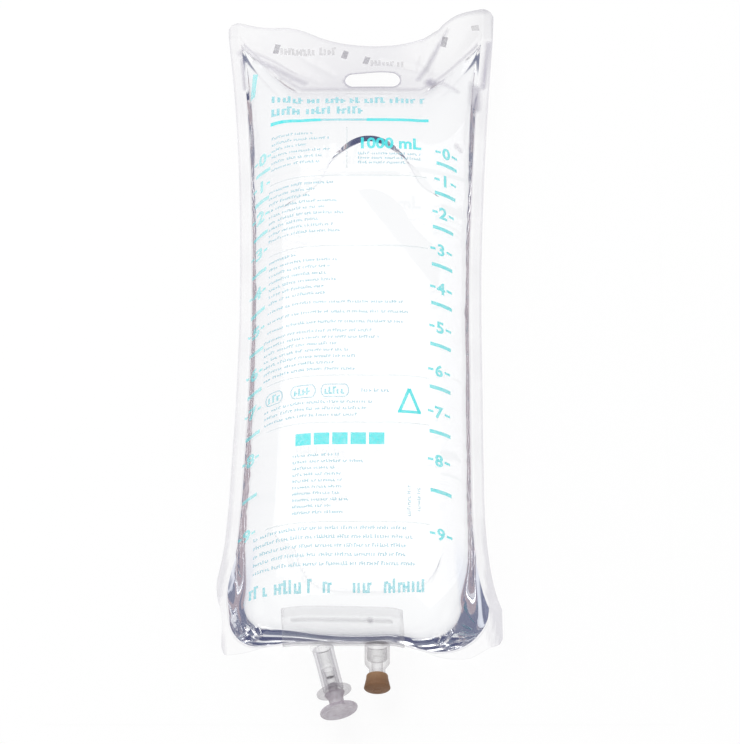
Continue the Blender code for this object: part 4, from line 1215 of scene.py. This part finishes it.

# The table's look. The eye, a mirror image and light straight through the bag all meet it white, apart from
# its dim places, where a shadow is painted. Light that has been turned inside the liquid meets the murk, a
# dark colour painted on the table as shade.
floor_look, tree, shader = new_material("white_table", (0.90, 0.90, 0.90), 0.7)
path = add_node(tree, "LightPath").outputs
unturned = calc(tree, "LESS_THAN", path["Glossy Depth"], 0.5)
lit = calc(tree, "MULTIPLY_ADD", stored(tree, "dim"), -1.0, 1.0)
straight = calc(tree, "MULTIPLY", calc(tree, "MULTIPLY", unturned, lit), path["Is Transmission Ray"])
seen = calc(tree, "MAXIMUM", calc(tree, "MULTIPLY", path["Is Camera Ray"], 0.9), straight)
seen = calc(tree, "MAXIMUM", seen, path["Is Glossy Ray"])
lost = calc(tree, "SUBTRACT", path["Is Transmission Ray"], straight)
white = add_node(tree, "Emission").outputs["Emission"]
murk_colour = two_tone(tree, stored(tree, "painted_far_shade"), MURK, DEEP_MURK)
murk = add_node(tree, "Emission", {"Color": murk_colour}).outputs["Emission"]
pale = add_node(tree, "MixShader", {"Fac": seen, 1: shader.outputs["BSDF"], 2: white}).outputs["Shader"]
table = add_node(tree, "MixShader", {"Fac": lost, 1: pale, 2: murk}).outputs["Shader"]
tree.links.new(table, tree.nodes["Material Output"].inputs["Surface"])
put_on(floor, floor_look)
put_on(patch, floor_look)

# The room. The camera and plain light meet it white. Light through the liquid meets the murk ahead, a side
# wall that is mauve once the light has been turned, and a pale ceiling.
WHITE = (1.0, 1.0, 1.0)
world = bpy.data.worlds.new("room")
bpy.context.scene.world = world
world.use_nodes = True
tree = world.node_tree
path = add_node(tree, "LightPath").outputs
way = add_node(tree, "SeparateXYZ", {"Vector": add_node(tree, "TexCoord").outputs["Generated"]}).outputs
sideways = add_node(tree, "MapRange", {"Value": calc(tree, "ABSOLUTE", way["X"]), "From Min": 0.35,
                                       "From Max": 0.75}, interpolation_type="SMOOTHSTEP")
upward = add_node(tree, "MapRange", {"Value": way["Z"], "From Min": 0.30, "From Max": 0.48, "To Max": 0.75},
                  interpolation_type="SMOOTHSTEP")
unturned = calc(tree, "LESS_THAN", path["Glossy Depth"], 0.5)
walls = two_tone(tree, sideways.outputs["Result"], MURK, two_tone(tree, unturned, MAUVE, WHITE))
dim_colour = two_tone(tree, upward.outputs["Result"], walls, WHITE)
dim_room = add_node(tree, "Background", {"Color": dim_colour}).outputs["Background"]
backdrop = add_node(tree, "Background", {"Color": (*WHITE, 1.0)}).outputs["Background"]
room = tree.nodes["Background"]
room.inputs["Color"].default_value = (*WHITE, 1.0)
room.inputs["Strength"].default_value = 0.8
pale = room.outputs["Background"]
pale = add_node(tree, "MixShader", {"Fac": path["Is Camera Ray"], 1: pale, 2: backdrop}).outputs["Shader"]
whole = add_node(tree, "MixShader", {"Fac": path["Is Transmission Ray"], 1: pale, 2: dim_room})
tree.links.new(whole.outputs["Shader"], tree.nodes["World Output"].inputs["Surface"])

lamp_data = bpy.data.lights.new("soft_box", "AREA")
lamp_data.shape = "RECTANGLE"
lamp_data.size = 1.2
lamp_data.size_y = 0.9
lamp_data.energy = 9.0
lamp = bpy.data.objects.new("soft_box", lamp_data)
bpy.context.scene.collection.objects.link(lamp)
lamp.location = (-0.5, 0.5, 1.3)
lamp.rotation_euler = (Vector((0.0, 0.0, 0.0)) - lamp.location).to_track_quat("-Z", "Y").to_euler()
